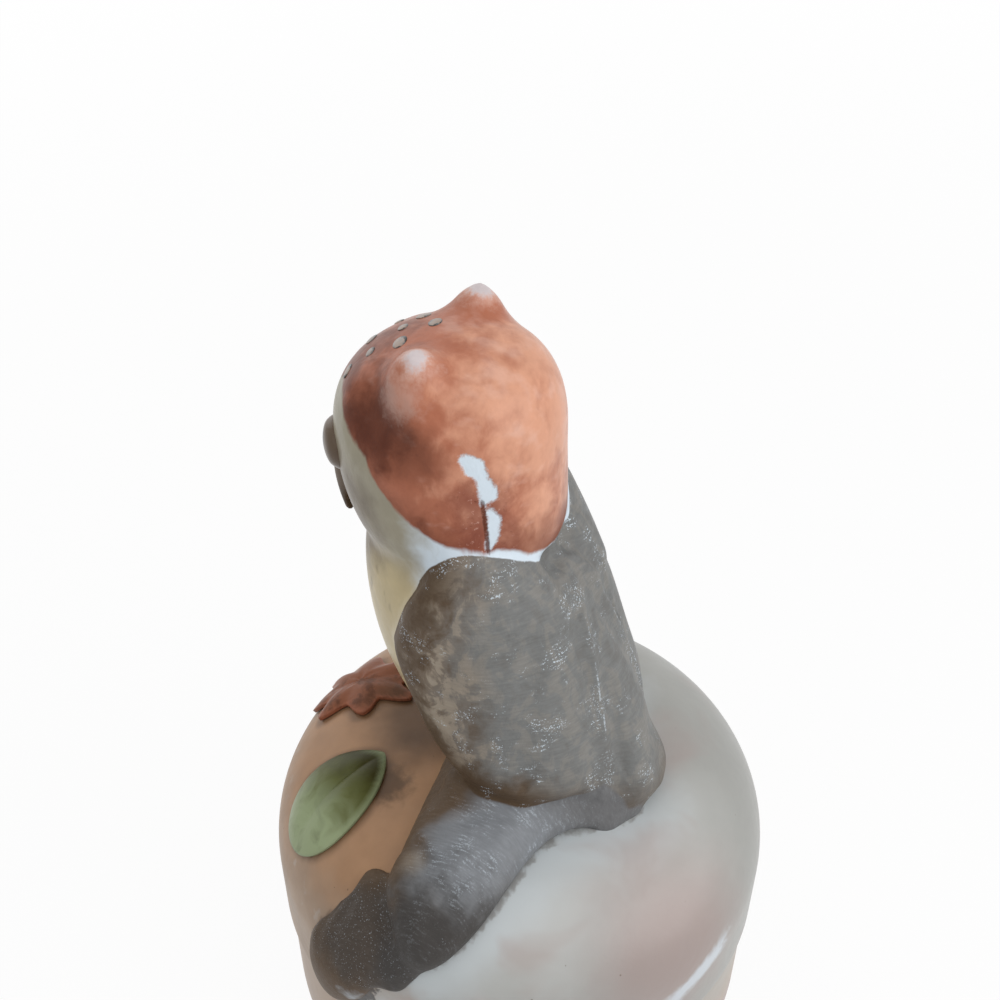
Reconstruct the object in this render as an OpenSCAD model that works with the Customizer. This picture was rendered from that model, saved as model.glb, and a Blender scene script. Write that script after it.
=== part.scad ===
// Porcelain trinket box with an owl perched on its lift-off lid.
// Sizes are in millimetres. The owl faces -Y, its left side is +X and +Z is up.

/* [Box] */
// Outside diameter of the lid at its rim
box_d = 66; // [60:0.5:74]
// Height of the base from the table to the seat of the lid
base_h = 26.5; // [22:0.5:40]
// Height of the lid from its seat to the top of the dome
lid_h = 24.5; // [20:0.5:28]
// Wall thickness of the base and of the lid
wall = 2.6; // [2:0.1:3]
// Radius of the rounded shoulder of the lid
shoulder_r = 14; // [10:0.5:15]
// Radius of the gentle curve across the top of the lid
crown_r = 200; // [150:5:260]
// Radius of the rounded lower edge of the base
heel_r = 9; // [6:0.5:11]
// Overhang of the lid past the wall of the base
lip = 0.5; // [0.3:0.1:0.9]
// Radius of the softened edges at the seam
seam_r = 0.9; // [0.5:0.1:1.1]

/* [Locating ring] */
// Depth of the ring under the lid that keeps it centred
ring_depth = 4; // [3:0.5:6]
// Thickness of the ring
ring_t = 2; // [1.6:0.1:2.4]
// Clearance between the ring and the inside of the base
ring_clear = 0.45; // [0.35:0.05:0.8]

/* [Foot ring] */
// Height of the foot ring under the base
foot_h = 2; // [1.5:0.5:3]
// Width of the foot ring
foot_w = 3; // [2:0.5:4]

/* [Log] */
// Height of the owl's seat above the top of the dome
seat_rise = 6; // [5:0.5:8]
// Width of the log
log_w = 17.4; // [15:0.2:19]
// Swelling of the log beside the owl's tail
knot = 4.2; // [3:0.2:4.8]
// Reach of the log towards the owl's left
log_left = 33.5; // [29:0.5:34]
// Reach of the log towards the owl's right
log_right = 16; // [13:0.5:20]
// Length of the side stub of the log
stub_l = 20; // [16:0.5:21]
// Width of the side stub
stub_w = 12; // [9:0.2:12.4]
// Height of the side stub off the lid
stub_t = 2.3; // [1.8:0.1:2.6]

/* [Owl] */
// Height of the body from its seat to the neck
body_h = 30.5; // [27:0.5:34]
// Width of the body
body_w = 26; // [23:0.5:28]
// Depth of the body from breast to back
body_d = 28.4; // [26:0.2:30]
// Swelling of the breast past the body's oval
belly = 1.9; // [1.3:0.1:2.8]
// Amount by which the head stands in from the body at each side
head_in = 0.3; // [0.1:0.1:1.2]
// Depth of the head from face to nape
head_d = 25.2; // [24:0.2:27]
// Height of the head from the neck to the crown
head_h = 24; // [22:0.5:27]
// Swelling of the face past the head's oval
face_out = 1.2; // [0.8:0.1:1.8]
// Height of an ear tuft
tuft_h = 3.2; // [2.6:0.2:4.2]
// Thickness of a wing at its middle
wing_t = 2.2; // [1.6:0.1:2.8]
// Diameter of an eye
eye_d = 6; // [5:0.2:7]
// Rise of an eye off the face
eye_out = 1.3; // [0.9:0.1:1.8]
// Height of the beak where it grows from the face
beak_l = 7; // [6:0.5:8]
// Rise of the hooked beak off the face
beak_out = 2.2; // [1.8:0.1:3]
// Reach of the tail behind the owl's seat
tail_reach = 20; // [18:0.5:22]
// Width of the tail at its end
tail_w = 11.5; // [9:0.5:13]

/* [Leaves] */
// Length of the green leaf
leaf_l = 17; // [14:0.5:18]
// Width of the green leaf
leaf_w = 11.4; // [9:0.2:12]
// Span of the autumn leaf
fall_l = 15; // [12:0.5:17]
// Thickness of a leaf at its middle
leaf_t = 1.5; // [1.2:0.1:2]

/* [Hidden] */
$fn = 96;
// Clearance of a curved joint between pieces that are luted together
joint = 0.16;
// Amount by which the shoulder's arc stands past the arc of the crown, so that the two cross
arc_lap = 0.005;

// Box
lid_r = box_d / 2;
base_r = lid_r - lip;
base_in = base_r - wall;
apex_z = base_h + lid_h;
crown_c = apex_z - crown_r;
fil_r = lid_r - shoulder_r;
fil_z = crown_c + sqrt(pow(crown_r - shoulder_r, 2) - pow(fil_r, 2));
tan_r = fil_r * crown_r / (crown_r - shoulder_r);
tan_z = crown_c + sqrt(crown_r * crown_r - tan_r * tan_r);
ring_ro = base_in - ring_clear;
ring_web = 2.4;
foot_ro = base_r - heel_r + foot_w / 2;

// Heights of the owl
seat_z = apex_z + seat_rise;
neck_z = seat_z + body_h;

// Dome profile by the distance from its top, over the crown, the shoulder and the wall:
// radius, height, and the two parts of the outward normal
crown_a = asin(tan_r / crown_r);
crown_len = crown_r * crown_a * PI / 180;
should_len = shoulder_r * (90 - crown_a) * PI / 180;
function profile(d) =
  d <= crown_len ? let (a = d / crown_r * 180 / PI)
    [crown_r * sin(a), crown_c + crown_r * cos(a), sin(a), cos(a)]
  : d <= crown_len + should_len ? let (a = crown_a + (d - crown_len) / shoulder_r * 180 / PI)
    [fil_r + shoulder_r * sin(a), fil_z + shoulder_r * cos(a), sin(a), cos(a)]
  : [lid_r, fil_z - (d - crown_len - should_len), 1, 0];
// Point at a distance off the dome, laid out flat from its top
function on_dome(x, y, off) =
  let (d = max(norm([x, y]), 0.001), f = profile(d), r = f[0] + f[2] * off)
  [r * x / d, r * y / d, f[1] + f[3] * off];
// Height of the dome over the plan
function dome_z(r) =
  r <= tan_r ? crown_c + sqrt(crown_r * crown_r - r * r)
  : fil_z + sqrt(max(0, shoulder_r * shoulder_r - pow(min(r, lid_r) - fil_r, 2)));

// Log: half width, height, middle line and a point round its section
log_span = log_left + log_right;
log_back = 1.7;
log_bend = 0.9;
log_thin = 0.44;
log_fall = 0.42;
log_over = 2;
knot_x = 4;
knot_reach = 6;
function log_x(s) = -log_right + log_span * s;
function log_end(s) = sqrt(max(0, 1 - pow(abs(2 * s - 1), 5)));
function log_knot(s) = knot * exp(-pow((log_x(s) - knot_x) / knot_reach, 2));
function log_half(s) = log_w / 2 * log_end(s) * (1 - log_thin * pow(s, 3)) + log_knot(s);
function log_rise(s) = (seat_rise + log_over) * log_end(s) * (1 - log_fall * s * s);
function log_mid(s) = log_back - log_bend * s * s + log_knot(s);
function log_pt(s, a, off) =
  let (lift = log_rise(s) * pow(max(0, sin(a)), 0.8),
       p = on_dome(log_x(s), log_mid(s) + log_half(s) * cos(a), joint + lift),
       n = [0, cos(a), max(0, sin(a))])
  [p[0], p[1], min(p[2], seat_z)] + n * off;
// Height of the log, or of the dome beside it, over the plan
function log_z(x, y) =
  let (s = (x + log_right) / log_span, c = (y - log_mid(s)) / log_half(s), z = dome_z(norm([x, y])))
  abs(c) < 1 ? min(seat_z, z + joint + log_rise(s) * pow(1 - c * c, 0.4)) : z;

// Body: shares of its full width and depth up its height, and a point on its side
body_back_y = 2.5;
body_slant = 8.8;
nape_lean = 0.28;
function body_fx(t) = pow(1 - pow(abs(t - 0.5) / 0.68, 3), 1 / 3);
function body_fy(t) = pow(1 - pow(abs(t - 0.58) / 0.66, 2.6), 1 / 2.6);
function body_y(t) = body_back_y - body_slant * pow(t, 0.75);
function body_t(z) = min(1, max(0, (z - seat_z) / body_h));
function body_rx(t) = body_w / 2 * body_fx(t);
function body_breast(t) = body_d / 2 * body_fy(t) + belly * pow(max(0, sin(180 * pow(t, 0.7))), 1.5);
function body_back(t) = body_d / 2 * body_fy(t) * (1 - nape_lean * t * t);
function body_pt(a, z, off) =
  let (t = body_t(z),
       rx = body_rx(t),
       ry = cos(a) > 0 ? body_breast(t) : body_back(t),
       n = [sin(a) / rx, -cos(a) / ry, 0])
  [rx * sin(a), body_y(t) - ry * cos(a), z] + n / norm(n) * off;

// Head: shares up its height, middle line, and a point on its side or its crown
head_w = body_w - 2 * head_in;
head_low = head_h * 0.49;
head_top = head_h - head_low;
head_z = neck_z + head_low;
head_fore = 2.2;
head_y = body_y(1) - head_fore;
chin_back = 1.4;
crown_back = 1.1;
crown_round = 2.35;
head_tuck = 1.6;
function head_f(z) =
  z < head_z ? pow(1 - pow((head_z - z) / (head_low * head_tuck), 3), 1 / 3)
  : pow(max(0, 1 - pow((z - head_z) / head_top, crown_round)), 1 / crown_round);
function head_mid(z) =
  head_y + (z < head_z ? chin_back * pow((head_z - z) / head_low, 2)
    : crown_back * pow((z - head_z) / head_top, 2));
function face_at(a, z) =
  face_out * pow(max(0, cos(a)), 2) * (z < head_z ? 1 : 1 - pow((z - head_z) / head_top, 2));
function head_pt(a, z, off) =
  let (f = head_f(z),
       n = [sin(a) / head_w, -cos(a) / head_d, (z - head_z) * 0.6 / pow(head_h, 2)])
  [head_w / 2 * f * sin(a), head_mid(z) - (head_d / 2 * f + face_at(a, z)) * cos(a), z]
    + n / norm(n) * off;
function crown_z(x, y, tries = 8, z = head_z + 0.8 * head_top) =
  let (q = norm([2 * x / head_w, 2 * (y - head_mid(z)) / head_d]))
  tries == 0 ? z
  : crown_z(x, y, tries - 1, head_z + head_top * pow(max(0, 1 - pow(q, crown_round)), 1 / crown_round));

// Closed skin through rings of points, with a tip at each end
module skin(tip_a, rings, tip_b) {
  n = len(rings[0]);
  m = len(rings);
  last = n * m + 1;
  polyhedron(
    points = concat([tip_a], [for (ring = rings) each ring], [tip_b]),
    faces = concat(
      [for (j = [0:n - 1]) [0, 1 + j, 1 + (j + 1) % n]],
      [for (i = [0:m - 2], j = [0:n - 1])
        let (p = 1 + i * n + j, q = 1 + i * n + (j + 1) % n)
        each [[p, p + n, q + n], [p, q + n, q]]],
      [for (j = [0:n - 1]) [last, last - n + (j + 1) % n, last - n + j]]),
    convexity = 6);
}

// Outline of the lid's half section, drawn inwards by a set amount
module dome_half(inset, low_z, soft) {
  r = lid_r - inset;
  mid_z = (low_z + soft + fil_z) / 2;
  translate([0, low_z + soft]) square([r, fil_z - low_z - soft]);
  translate([0, low_z]) square([r - soft, soft + 0.001]);
  if (soft > 0)
    translate([r - soft, low_z + soft]) circle(soft);
  intersection() {
    translate([fil_r, fil_z]) circle(shoulder_r - inset);
    translate([0, mid_z]) square([lid_r + 1, apex_z - mid_z]);
  }
  intersection() {
    translate([0, crown_c]) circle(crown_r - inset - arc_lap, $fn = 360);
    translate([0, fil_z]) square([tan_r * (crown_r - inset) / crown_r, apex_z - fil_z]);
  }
}

// Half section with one rounded lower corner
module cup_half(r, low_z, high_z, corner) {
  translate([0, low_z + corner]) square([r, high_z - low_z - corner]);
  translate([0, low_z]) square([r - corner, corner + 0.001]);
  translate([r - corner, low_z + corner]) circle(corner);
}

// Base bowl: thrown wall with a rounded heel on a turned foot ring
module base_bowl() {
  color("tan")
  rotate_extrude()
  intersection() {
    translate([0, 0]) square([lid_r, base_h]);
    union() {
      difference() {
        cup_half(base_r, foot_h, base_h, heel_r);
        cup_half(base_in, foot_h + wall, base_h + 1, heel_r - wall);
        translate([base_r - seam_r, base_h - seam_r]) difference() {
          square([seam_r + 1, seam_r + 1]);
          circle(seam_r);
        }
      }
      translate([foot_ro - foot_w, 0]) square([foot_w, foot_h + wall / 2]);
    }
  }
}

// Lid: domed shell with a flat seat and a locating ring that drops into the base
module lid_dome() {
  color("ivory")
  rotate_extrude()
  intersection() {
    translate([0, base_h - ring_depth]) square([lid_r, lid_h + ring_depth + 1]);
    union() {
      difference() {
        dome_half(0, base_h, seam_r);
        dome_half(wall, base_h - 1, 0);
      }
      translate([ring_ro - ring_t, base_h]) square([lid_r - wall / 2 - ring_ro + ring_t, ring_web]);
      translate([ring_ro - ring_t, base_h - ring_depth]) square([ring_t, ring_depth + ring_web]);
    }
  }
}

// Log across the lid that the owl perches on
module log() {
  rows = 30;
  sides = 26;
  color("dimgray")
  skin(on_dome(log_x(0), log_mid(0), joint * 2),
    [for (i = [1:rows - 1])
      let (s = 0.5 - 0.5 * cos(180 * i / rows))
      [for (j = [0:sides - 1]) log_pt(s, 360 * j / sides, 0)]],
    on_dome(log_x(1), log_mid(1), joint * 2));
}

// Raised piece laid on the dome: a lobed outline swollen towards its middle
module on_lid(mid, turn, reach, rise, rings, sides) {
  function plan(q, a) =
    let (p = reach(a) * q)
    [mid[0] + p[0] * cos(turn) - p[1] * sin(turn), mid[1] + p[0] * sin(turn) + p[1] * cos(turn)];
  function spot(q, a, off) = let (p = plan(q, a)) on_dome(p[0], p[1], off);
  skin(spot(0, 0, joint),
    concat(
      [for (i = [1:rings]) [for (j = [0:sides - 1]) spot(i / rings, 360 * j / sides, joint)]],
      [for (i = [rings:-1:1]) [for (j = [0:sides - 1])
        spot(i / rings, 360 * j / sides, joint + rise(i / rings, 360 * j / sides))]]),
    spot(0, 0, joint + rise(0, 0)));
}

// Side stub of the log, drooping over the shoulder to the owl's front left
stub_out = 5.6;
stub_at = -17.2;
stub_turn = -45;
stub_rim = 0.5;
module branch_stub() {
  color("dimgray")
  on_lid((lid_r + stub_out) * [cos(stub_at), sin(stub_at)], stub_turn,
    function(a) [stub_l / 2 * cos(a), stub_w / 2 * sin(a)],
    function(q, a) stub_rim + (stub_t - stub_rim) * sqrt(max(0, 1 - q * q)), 6, 28);
}

// Green leaf with a sunken midrib
leaf_in = 7.7;
leaf_at = -47.9;
leaf_turn = -25;
leaf_rim = 0.4;
leaf_point = 0.22;
leaf_vein = 0.55;
module green_leaf() {
  color("olivedrab")
  on_lid((lid_r - leaf_in) * [cos(leaf_at), sin(leaf_at)], leaf_turn,
    function(a) [leaf_l / 2 * cos(a),
      leaf_w / 2 * sin(a) * (1 + leaf_point * cos(a)) * pow(abs(sin(a)), 0.2 - 0.2 * cos(a))],
    function(q, a) leaf_rim + (leaf_t - leaf_rim) * (1 - q * q)
      * (1 - leaf_vein + leaf_vein * min(1, 3 * q * abs(sin(a)))), 6, 40);
}

// Autumn leaf with pointed lobes at the front of the lid
fall_in = 8.4;
fall_at = -92.8;
fall_turn = -68;
fall_rim = 0.5;
fall_notch = 0.36;
fall_lobes = 7.5;
fall_slim = [1.2, 0.84];
module autumn_leaf() {
  color("sienna")
  on_lid((lid_r - fall_in) * [cos(fall_at), sin(fall_at)], fall_turn,
    function(a) let (w = a > 180 ? a - 360 : a,
        reach = 1 - fall_notch + fall_notch * pow(abs(cos(w * fall_lobes / 2)), 2.2))
      fall_l / 2 * reach * [fall_slim[0] * cos(a), fall_slim[1] * sin(a)],
    function(q, a) fall_rim + (leaf_t - fall_rim) * (1 - q * q)
      * (1 - leaf_vein + leaf_vein * min(1, 3 * q * abs(sin(a)))), 6, 60);
}

// Owl's body, flat where it sits on the log and where it meets the head
module owl_body() {
  rows = 16;
  sides = 44;
  color("cornsilk")
  skin([0, body_y(0), seat_z],
    [for (i = [0:rows]) let (t = 0.5 - 0.5 * cos(180 * i / rows))
      [for (j = [0:sides - 1]) body_pt(360 * j / sides, seat_z + body_h * t, 0)]],
    [0, body_y(1), neck_z]);
}

// Owl's head, flat under the neck
module owl_head() {
  rows_low = 7;
  rows_top = 12;
  sides = 44;
  color("chocolate")
  skin([0, head_y, neck_z],
    concat(
      [for (i = [0:rows_low])
        [for (j = [0:sides - 1]) head_pt(360 * j / sides, neck_z + head_low * i / rows_low, 0)]],
      [for (i = [1:rows_top - 1]) let (z = head_z + head_top * sin(90 * i / rows_top))
        [for (j = [0:sides - 1]) head_pt(360 * j / sides, z, 0)]]),
    [0, head_y, head_z + head_top]);
}

// Ear tuft: a small leaning cone that grows out of the crown
tuft_x = 7.6;
tuft_r = 3.6;
tuft_fore = 0.6;
tuft_lean = 0.8;
tuft_blunt = 1.7;
module left_ear_tuft() {
  rows = 8;
  sides = 24;
  function foot(q, a) = let (x = tuft_x + tuft_r * q * cos(a), y = head_y - tuft_fore + tuft_r * q * sin(a))
    [x, y, crown_z(x, y) + joint];
  tip = foot(0, 0) + [tuft_lean, 0, tuft_h];
  color("sienna")
  skin(foot(0, 0),
    concat(
      [for (q = [0.5, 1]) [for (j = [0:sides - 1]) foot(q, 360 * j / sides)]],
      [for (i = [1:rows - 1]) let (k = sin(90 * i / rows)) [for (j = [0:sides - 1])
        foot(1 - pow(k, tuft_blunt), 360 * j / sides) + (tip - foot(0, 0)) * k]]),
    tip);
}
module right_ear_tuft() {
  mirror([1, 0, 0]) left_ear_tuft();
}

// Raised piece on the face: an oval swollen away from the head
module on_face(turn, z, half_w, half_h, rise) {
  rings = 5;
  sides = 24;
  wide = half_w / (head_d / 2) * 180 / PI;
  function spot(q, a, off) = head_pt(turn + wide * q * cos(a), z + half_h * q * sin(a), off);
  skin(spot(0, 0, joint),
    concat(
      [for (i = [1:rings]) [for (j = [0:sides - 1]) spot(i / rings, 360 * j / sides, joint)]],
      [for (i = [rings:-1:1]) [for (j = [0:sides - 1])
        spot(i / rings, 360 * j / sides, joint + 0.3 + rise * pow(max(0, 1 - pow(i / rings, 2)), 0.5))]]),
    spot(0, 0, joint + 0.3 + rise));
}

// Domed eye
eye_turn = 27;
eye_drop = 2;
module left_eye() {
  color("saddlebrown")
  on_face(eye_turn, head_z - eye_drop, eye_d / 2, eye_d / 2, eye_out);
}
module right_eye() {
  mirror([1, 0, 0]) left_eye();
}

// Beak whose tip hooks down in front of the breast
beak_gap = 0.5;
beak_slim = 0.74;
beak_hook = 5.5;
beak_rim = 0.3;
module beak() {
  rings = 5;
  sides = 24;
  wide = beak_slim * beak_l / head_d * 180 / PI;
  function root(q, a) =
    head_pt(wide * q * cos(a), neck_z + beak_gap + beak_l / 2 * (1 + q * sin(a)), joint);
  function horn(q, a) =
    root(q, a) - [0, beak_rim + beak_out * pow(1 - q * q, 0.6), beak_hook * pow(1 - q, 1.2)];
  color("saddlebrown")
  skin(root(0, 0),
    concat(
      [for (i = [1:rings]) [for (j = [0:sides - 1]) root(i / rings, 360 * j / sides)]],
      [for (i = [rings:-1:1]) [for (j = [0:sides - 1]) horn(i / rings, 360 * j / sides)]]),
    horn(0, 0));
}

// Wing: a shell that wraps the side of the body from the breast to the back
wing_turn = 110;
wing_span = 47;
wing_seat = 0.26;
wing_over = 4.2;
wing_drop = 7.5;
wing_collar = 1.6;
wing_low = 0.9;
wing_up = (body_h + wing_over - wing_low) / 2;
wing_mid = seat_z + wing_low + wing_up;
wing_slope = 0.8;
wing_fore = 38;
wing_aft = 18;
wing_hang = 3.2;
wing_rim = 0.6;
// Stand-off of the wing at its hanging edge, and of its collar round the foot of the head
function wing_flare(z) = wing_hang * pow(max(0, 1 - (z - seat_z) / (0.4 * body_h)), 1.5);
function wing_lap(z) = wing_collar * pow(min(1, max(0, 1 - (neck_z - z) / (0.3 * body_h))), 1.5);
// Angle of the wing's back edge round the body at a height
function wing_edge(z) =
  wing_turn + wing_span
  + wing_aft * max(0, (z - wing_mid + wing_slope) / (wing_up - wing_drop + wing_slope));
module left_wing() {
  rings = 9;
  sides = 44;
  function squash(v, e) = sign(v) * pow(abs(v), e);
  function spot(q, a, off) =
    let (e = sin(a) > 0 ? 0.34 : 0.5 + 0.3 * max(0, -cos(a)),
         c = squash(cos(a), e) * q,
         s = squash(sin(a), e) * q,
         up = max(0, s),
         z = wing_mid - wing_slope * c * (1 - up) + wing_up * s - wing_drop * up * pow((1 + c) / 2, 2),
         lean = wing_fore * pow(up, 1.2) * (1 - c) / 2 + wing_aft * up * (1 + c) / 2)
    body_pt(wing_turn + wing_span * c + lean, z, off + wing_flare(z) + wing_lap(z) * (1 - pow(max(0, c), 2)));
  color("gray")
  skin(spot(0, 0, wing_seat),
    concat(
      [for (i = [1:rings]) [for (j = [0:sides - 1]) spot(i / rings, 360 * j / sides, wing_seat)]],
      [for (i = [rings:-1:1]) [for (j = [0:sides - 1])
        spot(i / rings, 360 * j / sides,
          wing_seat + wing_rim + (wing_t - wing_rim) * pow(max(0, 1 - pow(i / rings, 3)), 0.6))]]),
    spot(0, 0, wing_seat + wing_t));
}
module right_wing() {
  mirror([1, 0, 0]) left_wing();
}

// Tail: a long wedge from the nape down the owl's back to the dome
tail_top = 1.6;
tail_seat = 0.6;
tail_turn = 0.72;
tail_gap = 0.4;
tail_tip = 3;
tail_nape = 0.8;
tail_swell = 1.2;
tail_round = 0.05;
tail_thin = 0.7;
module tail() {
  rows = 16;
  sides = 24;
  nape_z = neck_z - tail_top;
  low_z = seat_z + tail_seat;
  tip_z = dome_z(tail_reach) + tail_tip;
  function share(s) = max(0, (s - tail_turn) / (1 - tail_turn));
  function spine_z(s) = nape_z + (low_z - nape_z) * min(1, s / tail_turn);
  function back(x, z) =
    let (t = body_t(z))
    body_y(t) + body_back(t) * sqrt(max(0, 1 - pow(x / body_rx(t), 2))) + joint;
  function half(s) =
    let (z = spine_z(s),
         near = (body_rx(body_t(z)) + wing_flare(z)) * sin(wing_edge(z)) - tail_gap)
    near + (tail_w / 2 - near) * sin(90 * share(s));
  function under(s, x) =
    let (k = share(s), z = spine_z(s), y0 = back(x, z))
    k == 0 ? [x, y0, z]
    : let (y1 = tail_reach - tail_nape - tail_round * x * x,
           y = y0 + (y1 - y0) * k,
           z1 = dome_z(norm([x, y1])) + joint)
      [x, y, max(z + (z1 - z) * k, log_z(x, y) + 7 * joint)];
  function over(s) =
    [0, back(0, nape_z) + tail_nape, nape_z + tail_gap] * (1 - s) + [0, tail_reach, tip_z] * s
    + [0, tail_swell * sin(180 * s), 0];
  function spot(s, a) =
    let (c = cos(a), x = -half(s) * sign(c) * pow(abs(c), 0.7), base = under(s, x),
         thick = over(s) - under(s, 0), m = a < 180 ? pow(max(0, sin(a)), 0.45) : 0)
    base + [0, max(tail_thin, thick[1]), thick[2]] * m;
  color("dimgray")
  skin(under(0, 0) + [0, tail_gap, tail_gap],
    [for (i = [0:rows]) [for (j = [0:sides - 1]) spot(i / rows, 360 * j / sides)]],
    (under(1, 0) + over(1)) / 2 + [0, tail_gap, 0]);
}

// Foot: three toes curled over the front of the log
foot_x = 4.6;
foot_half = 2.9;
foot_a = 159;
module toes(mid_x) {
  rings = 4;
  sides = 28;
  function spot(q, a, off) =
    log_pt((mid_x + log_right + foot_half * q * cos(a)) / (log_left + log_right),
      foot_a - 11.5 * q * sin(a), off);
  function toe(q, a) =
    0.35 + 1.3 * pow(max(0, 1 - q * q), 0.5) * (0.6 + 0.4 * abs(cos(270 * q * cos(a))));
  color("saddlebrown")
  skin(spot(0, 0, joint),
    concat(
      [for (i = [1:rings]) [for (j = [0:sides - 1]) spot(i / rings, 360 * j / sides, joint)]],
      [for (i = [rings:-1:1]) [for (j = [0:sides - 1])
        spot(i / rings, 360 * j / sides, joint + toe(i / rings, 360 * j / sides))]]),
    spot(0, 0, joint + toe(0, 0)));
}
module left_foot() {
  toes(foot_x);
}
module right_foot() {
  toes(-foot_x);
}

base_bowl();
lid_dome();
log();
branch_stub();
owl_body();
owl_head();
left_ear_tuft();
right_ear_tuft();
left_eye();
right_eye();
beak();
left_wing();
right_wing();
tail();
left_foot();
right_foot();
green_leaf();
autumn_leaf();
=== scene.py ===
"""Porcelain owl box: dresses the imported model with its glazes, its figure and a plain stage."""
import math

import bmesh
import bpy
import numpy as np
from mathutils import Matrix, Vector
from mathutils.bvhtree import BVHTree


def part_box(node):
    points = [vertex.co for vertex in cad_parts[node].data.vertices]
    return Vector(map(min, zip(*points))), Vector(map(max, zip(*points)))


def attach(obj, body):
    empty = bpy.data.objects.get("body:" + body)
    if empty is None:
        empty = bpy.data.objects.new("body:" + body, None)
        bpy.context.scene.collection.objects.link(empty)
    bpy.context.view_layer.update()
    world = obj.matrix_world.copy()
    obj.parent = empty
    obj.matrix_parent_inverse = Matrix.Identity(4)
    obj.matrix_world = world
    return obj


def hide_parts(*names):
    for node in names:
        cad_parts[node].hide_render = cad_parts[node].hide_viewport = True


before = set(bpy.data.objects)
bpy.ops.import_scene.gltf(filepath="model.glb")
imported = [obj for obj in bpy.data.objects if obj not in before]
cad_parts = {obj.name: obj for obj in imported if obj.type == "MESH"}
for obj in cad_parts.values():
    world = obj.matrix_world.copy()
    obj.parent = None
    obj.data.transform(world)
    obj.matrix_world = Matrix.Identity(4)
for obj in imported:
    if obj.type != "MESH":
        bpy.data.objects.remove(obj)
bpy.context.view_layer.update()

bl_info = {
    "name": "Porcelain owl box",
    "version": (1, 0, 0),
    "blender": (4, 5, 0),
    "location": "View3D > Sidebar > Owl box",
    "description": "Glazes, figure and stage for a trinket box with an owl on its lid",
    "category": "Object",
}

MM = 0.001
BASE_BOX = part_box("base_bowl")
LID_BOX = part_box("lid_dome")

# Radius of the small softened edges of the turned forms
SOFT = 0.5 * MM
# Rounded pieces: rounds of subdivision, greatest bend and skew of two triangles that are joined to
# a square, and greatest angle of a tip that stays sharp, in degrees
ROUNDING = 2
JOIN_BEND = 50
JOIN_SKEW = 60
TIP_ANGLE = 140
# Points closer than this are one point, in a CAD node or a turned form and in a finished mesh
SAME = 1e-6
TWIN = 1e-7

# Search for the spot of a pad, in millimetres: how far inside the rim it is made from above, the
# starts above and beside the box, and the height from the side, with its fall for each one out
INSIDE = 0.2
ABOVE, BESIDE = 120, 60
SIDE_HIGH, SIDE_FALL = 42, 1.2

# Places of painted marks, painted shade and painted highlights, in millimetres; those on the owl
# stand for both of its sides
LID_MIDDLE = (12, 8, 51)
PINK_PATCH = (15, 28, 42)
OWL_SHADE = (2, -13.5, 51)
LEAF_SHADE = (13.2, -12.6, 50.3)
FALL_SHADE = (1, -16.5, 51)
BROW_HOLLOW = (10.8, -12.8, 104.6)
TEMPLE = (11.4, -7.6, 103.2)
EAR_FRONT = (9.6, -9.4, 108.8)
EAR_TIP = (7.6, -8.6, 113.2)
CHIN = (4, -20, 89.5)
CHEEK = (8.6, -17.2, 92)
PUPIL = (5.9, -21.9, 97.4)
GLINT = (6.4, -22.4, 98.6)
BEAK_TIP = (0, -25, 85)
LOG_KNOB = (24.5, -2.2, 53)
LOG_END = (30, -7, 44)
STUB_TIP = (32.4, -7.2, 36.4)


def screen(*levels):
    """Linear colour from the 0 to 255 levels that a screen shows."""
    shares = [level / 255 for level in levels]
    return tuple(s / 12.92 if s <= 0.04045 else ((s + 0.055) / 1.055) ** 2.4 for s in shares)


def glaze(name, about, *levels):
    """Colour property of a glaze, given as screen levels."""
    return bpy.props.FloatVectorProperty(
        name=name, description=about, subtype="COLOR", size=3, min=0, max=1,
        default=screen(*levels))


def length(name, about, metres):
    """Length property."""
    return bpy.props.FloatProperty(
        name=name, description=about, default=metres, min=0, unit="LENGTH")


def count(name, about, number, least=0):
    """Property of a whole number."""
    return bpy.props.IntProperty(name=name, description=about, default=number, min=least)


class BoxSizes(bpy.types.PropertyGroup):
    """Sizes of the turned base and lid."""

    radius: length("Lid radius", "Radius of the lid at its rim", LID_BOX[1].x)
    seat: length("Seat height", "Height of the seam", BASE_BOX[1].z)
    apex: length("Dome height", "Height of the top of the lid", LID_BOX[1].z)
    base_radius: length("Base radius", "Radius of the base's wall", BASE_BOX[1].x)
    ring_low: length("Ring foot", "Lowest height of the ring", LID_BOX[0].z)
    wall: length("Wall", "Thickness of the cast wall", 2.6 * MM)
    shoulder: length("Shoulder", "Radius of the lid's shoulder", 14 * MM)
    crown: length("Crown", "Radius of the gentle curve over the lid", 200 * MM)
    heel: length("Heel", "Radius of the base's rounded heel", 9 * MM)
    edge: length("Seam edge", "Radius of the softened edges at the seam", 0.9 * MM)
    ring_gap: length("Ring clearance", "Gap between the ring and the base", 0.45 * MM)
    ring_wide: length("Ring width", "Thickness of the locating ring", 2 * MM)
    ring_web: length("Ring web", "Height of the ring's root above the seat", 2.4 * MM)
    foot_high: length("Foot height", "Height of the foot ring", 2 * MM)
    foot_wide: length("Foot width", "Width of the foot ring", 3 * MM)
    steps: count("Steps round", "Steps round a turned form", 192, 24)


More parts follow.
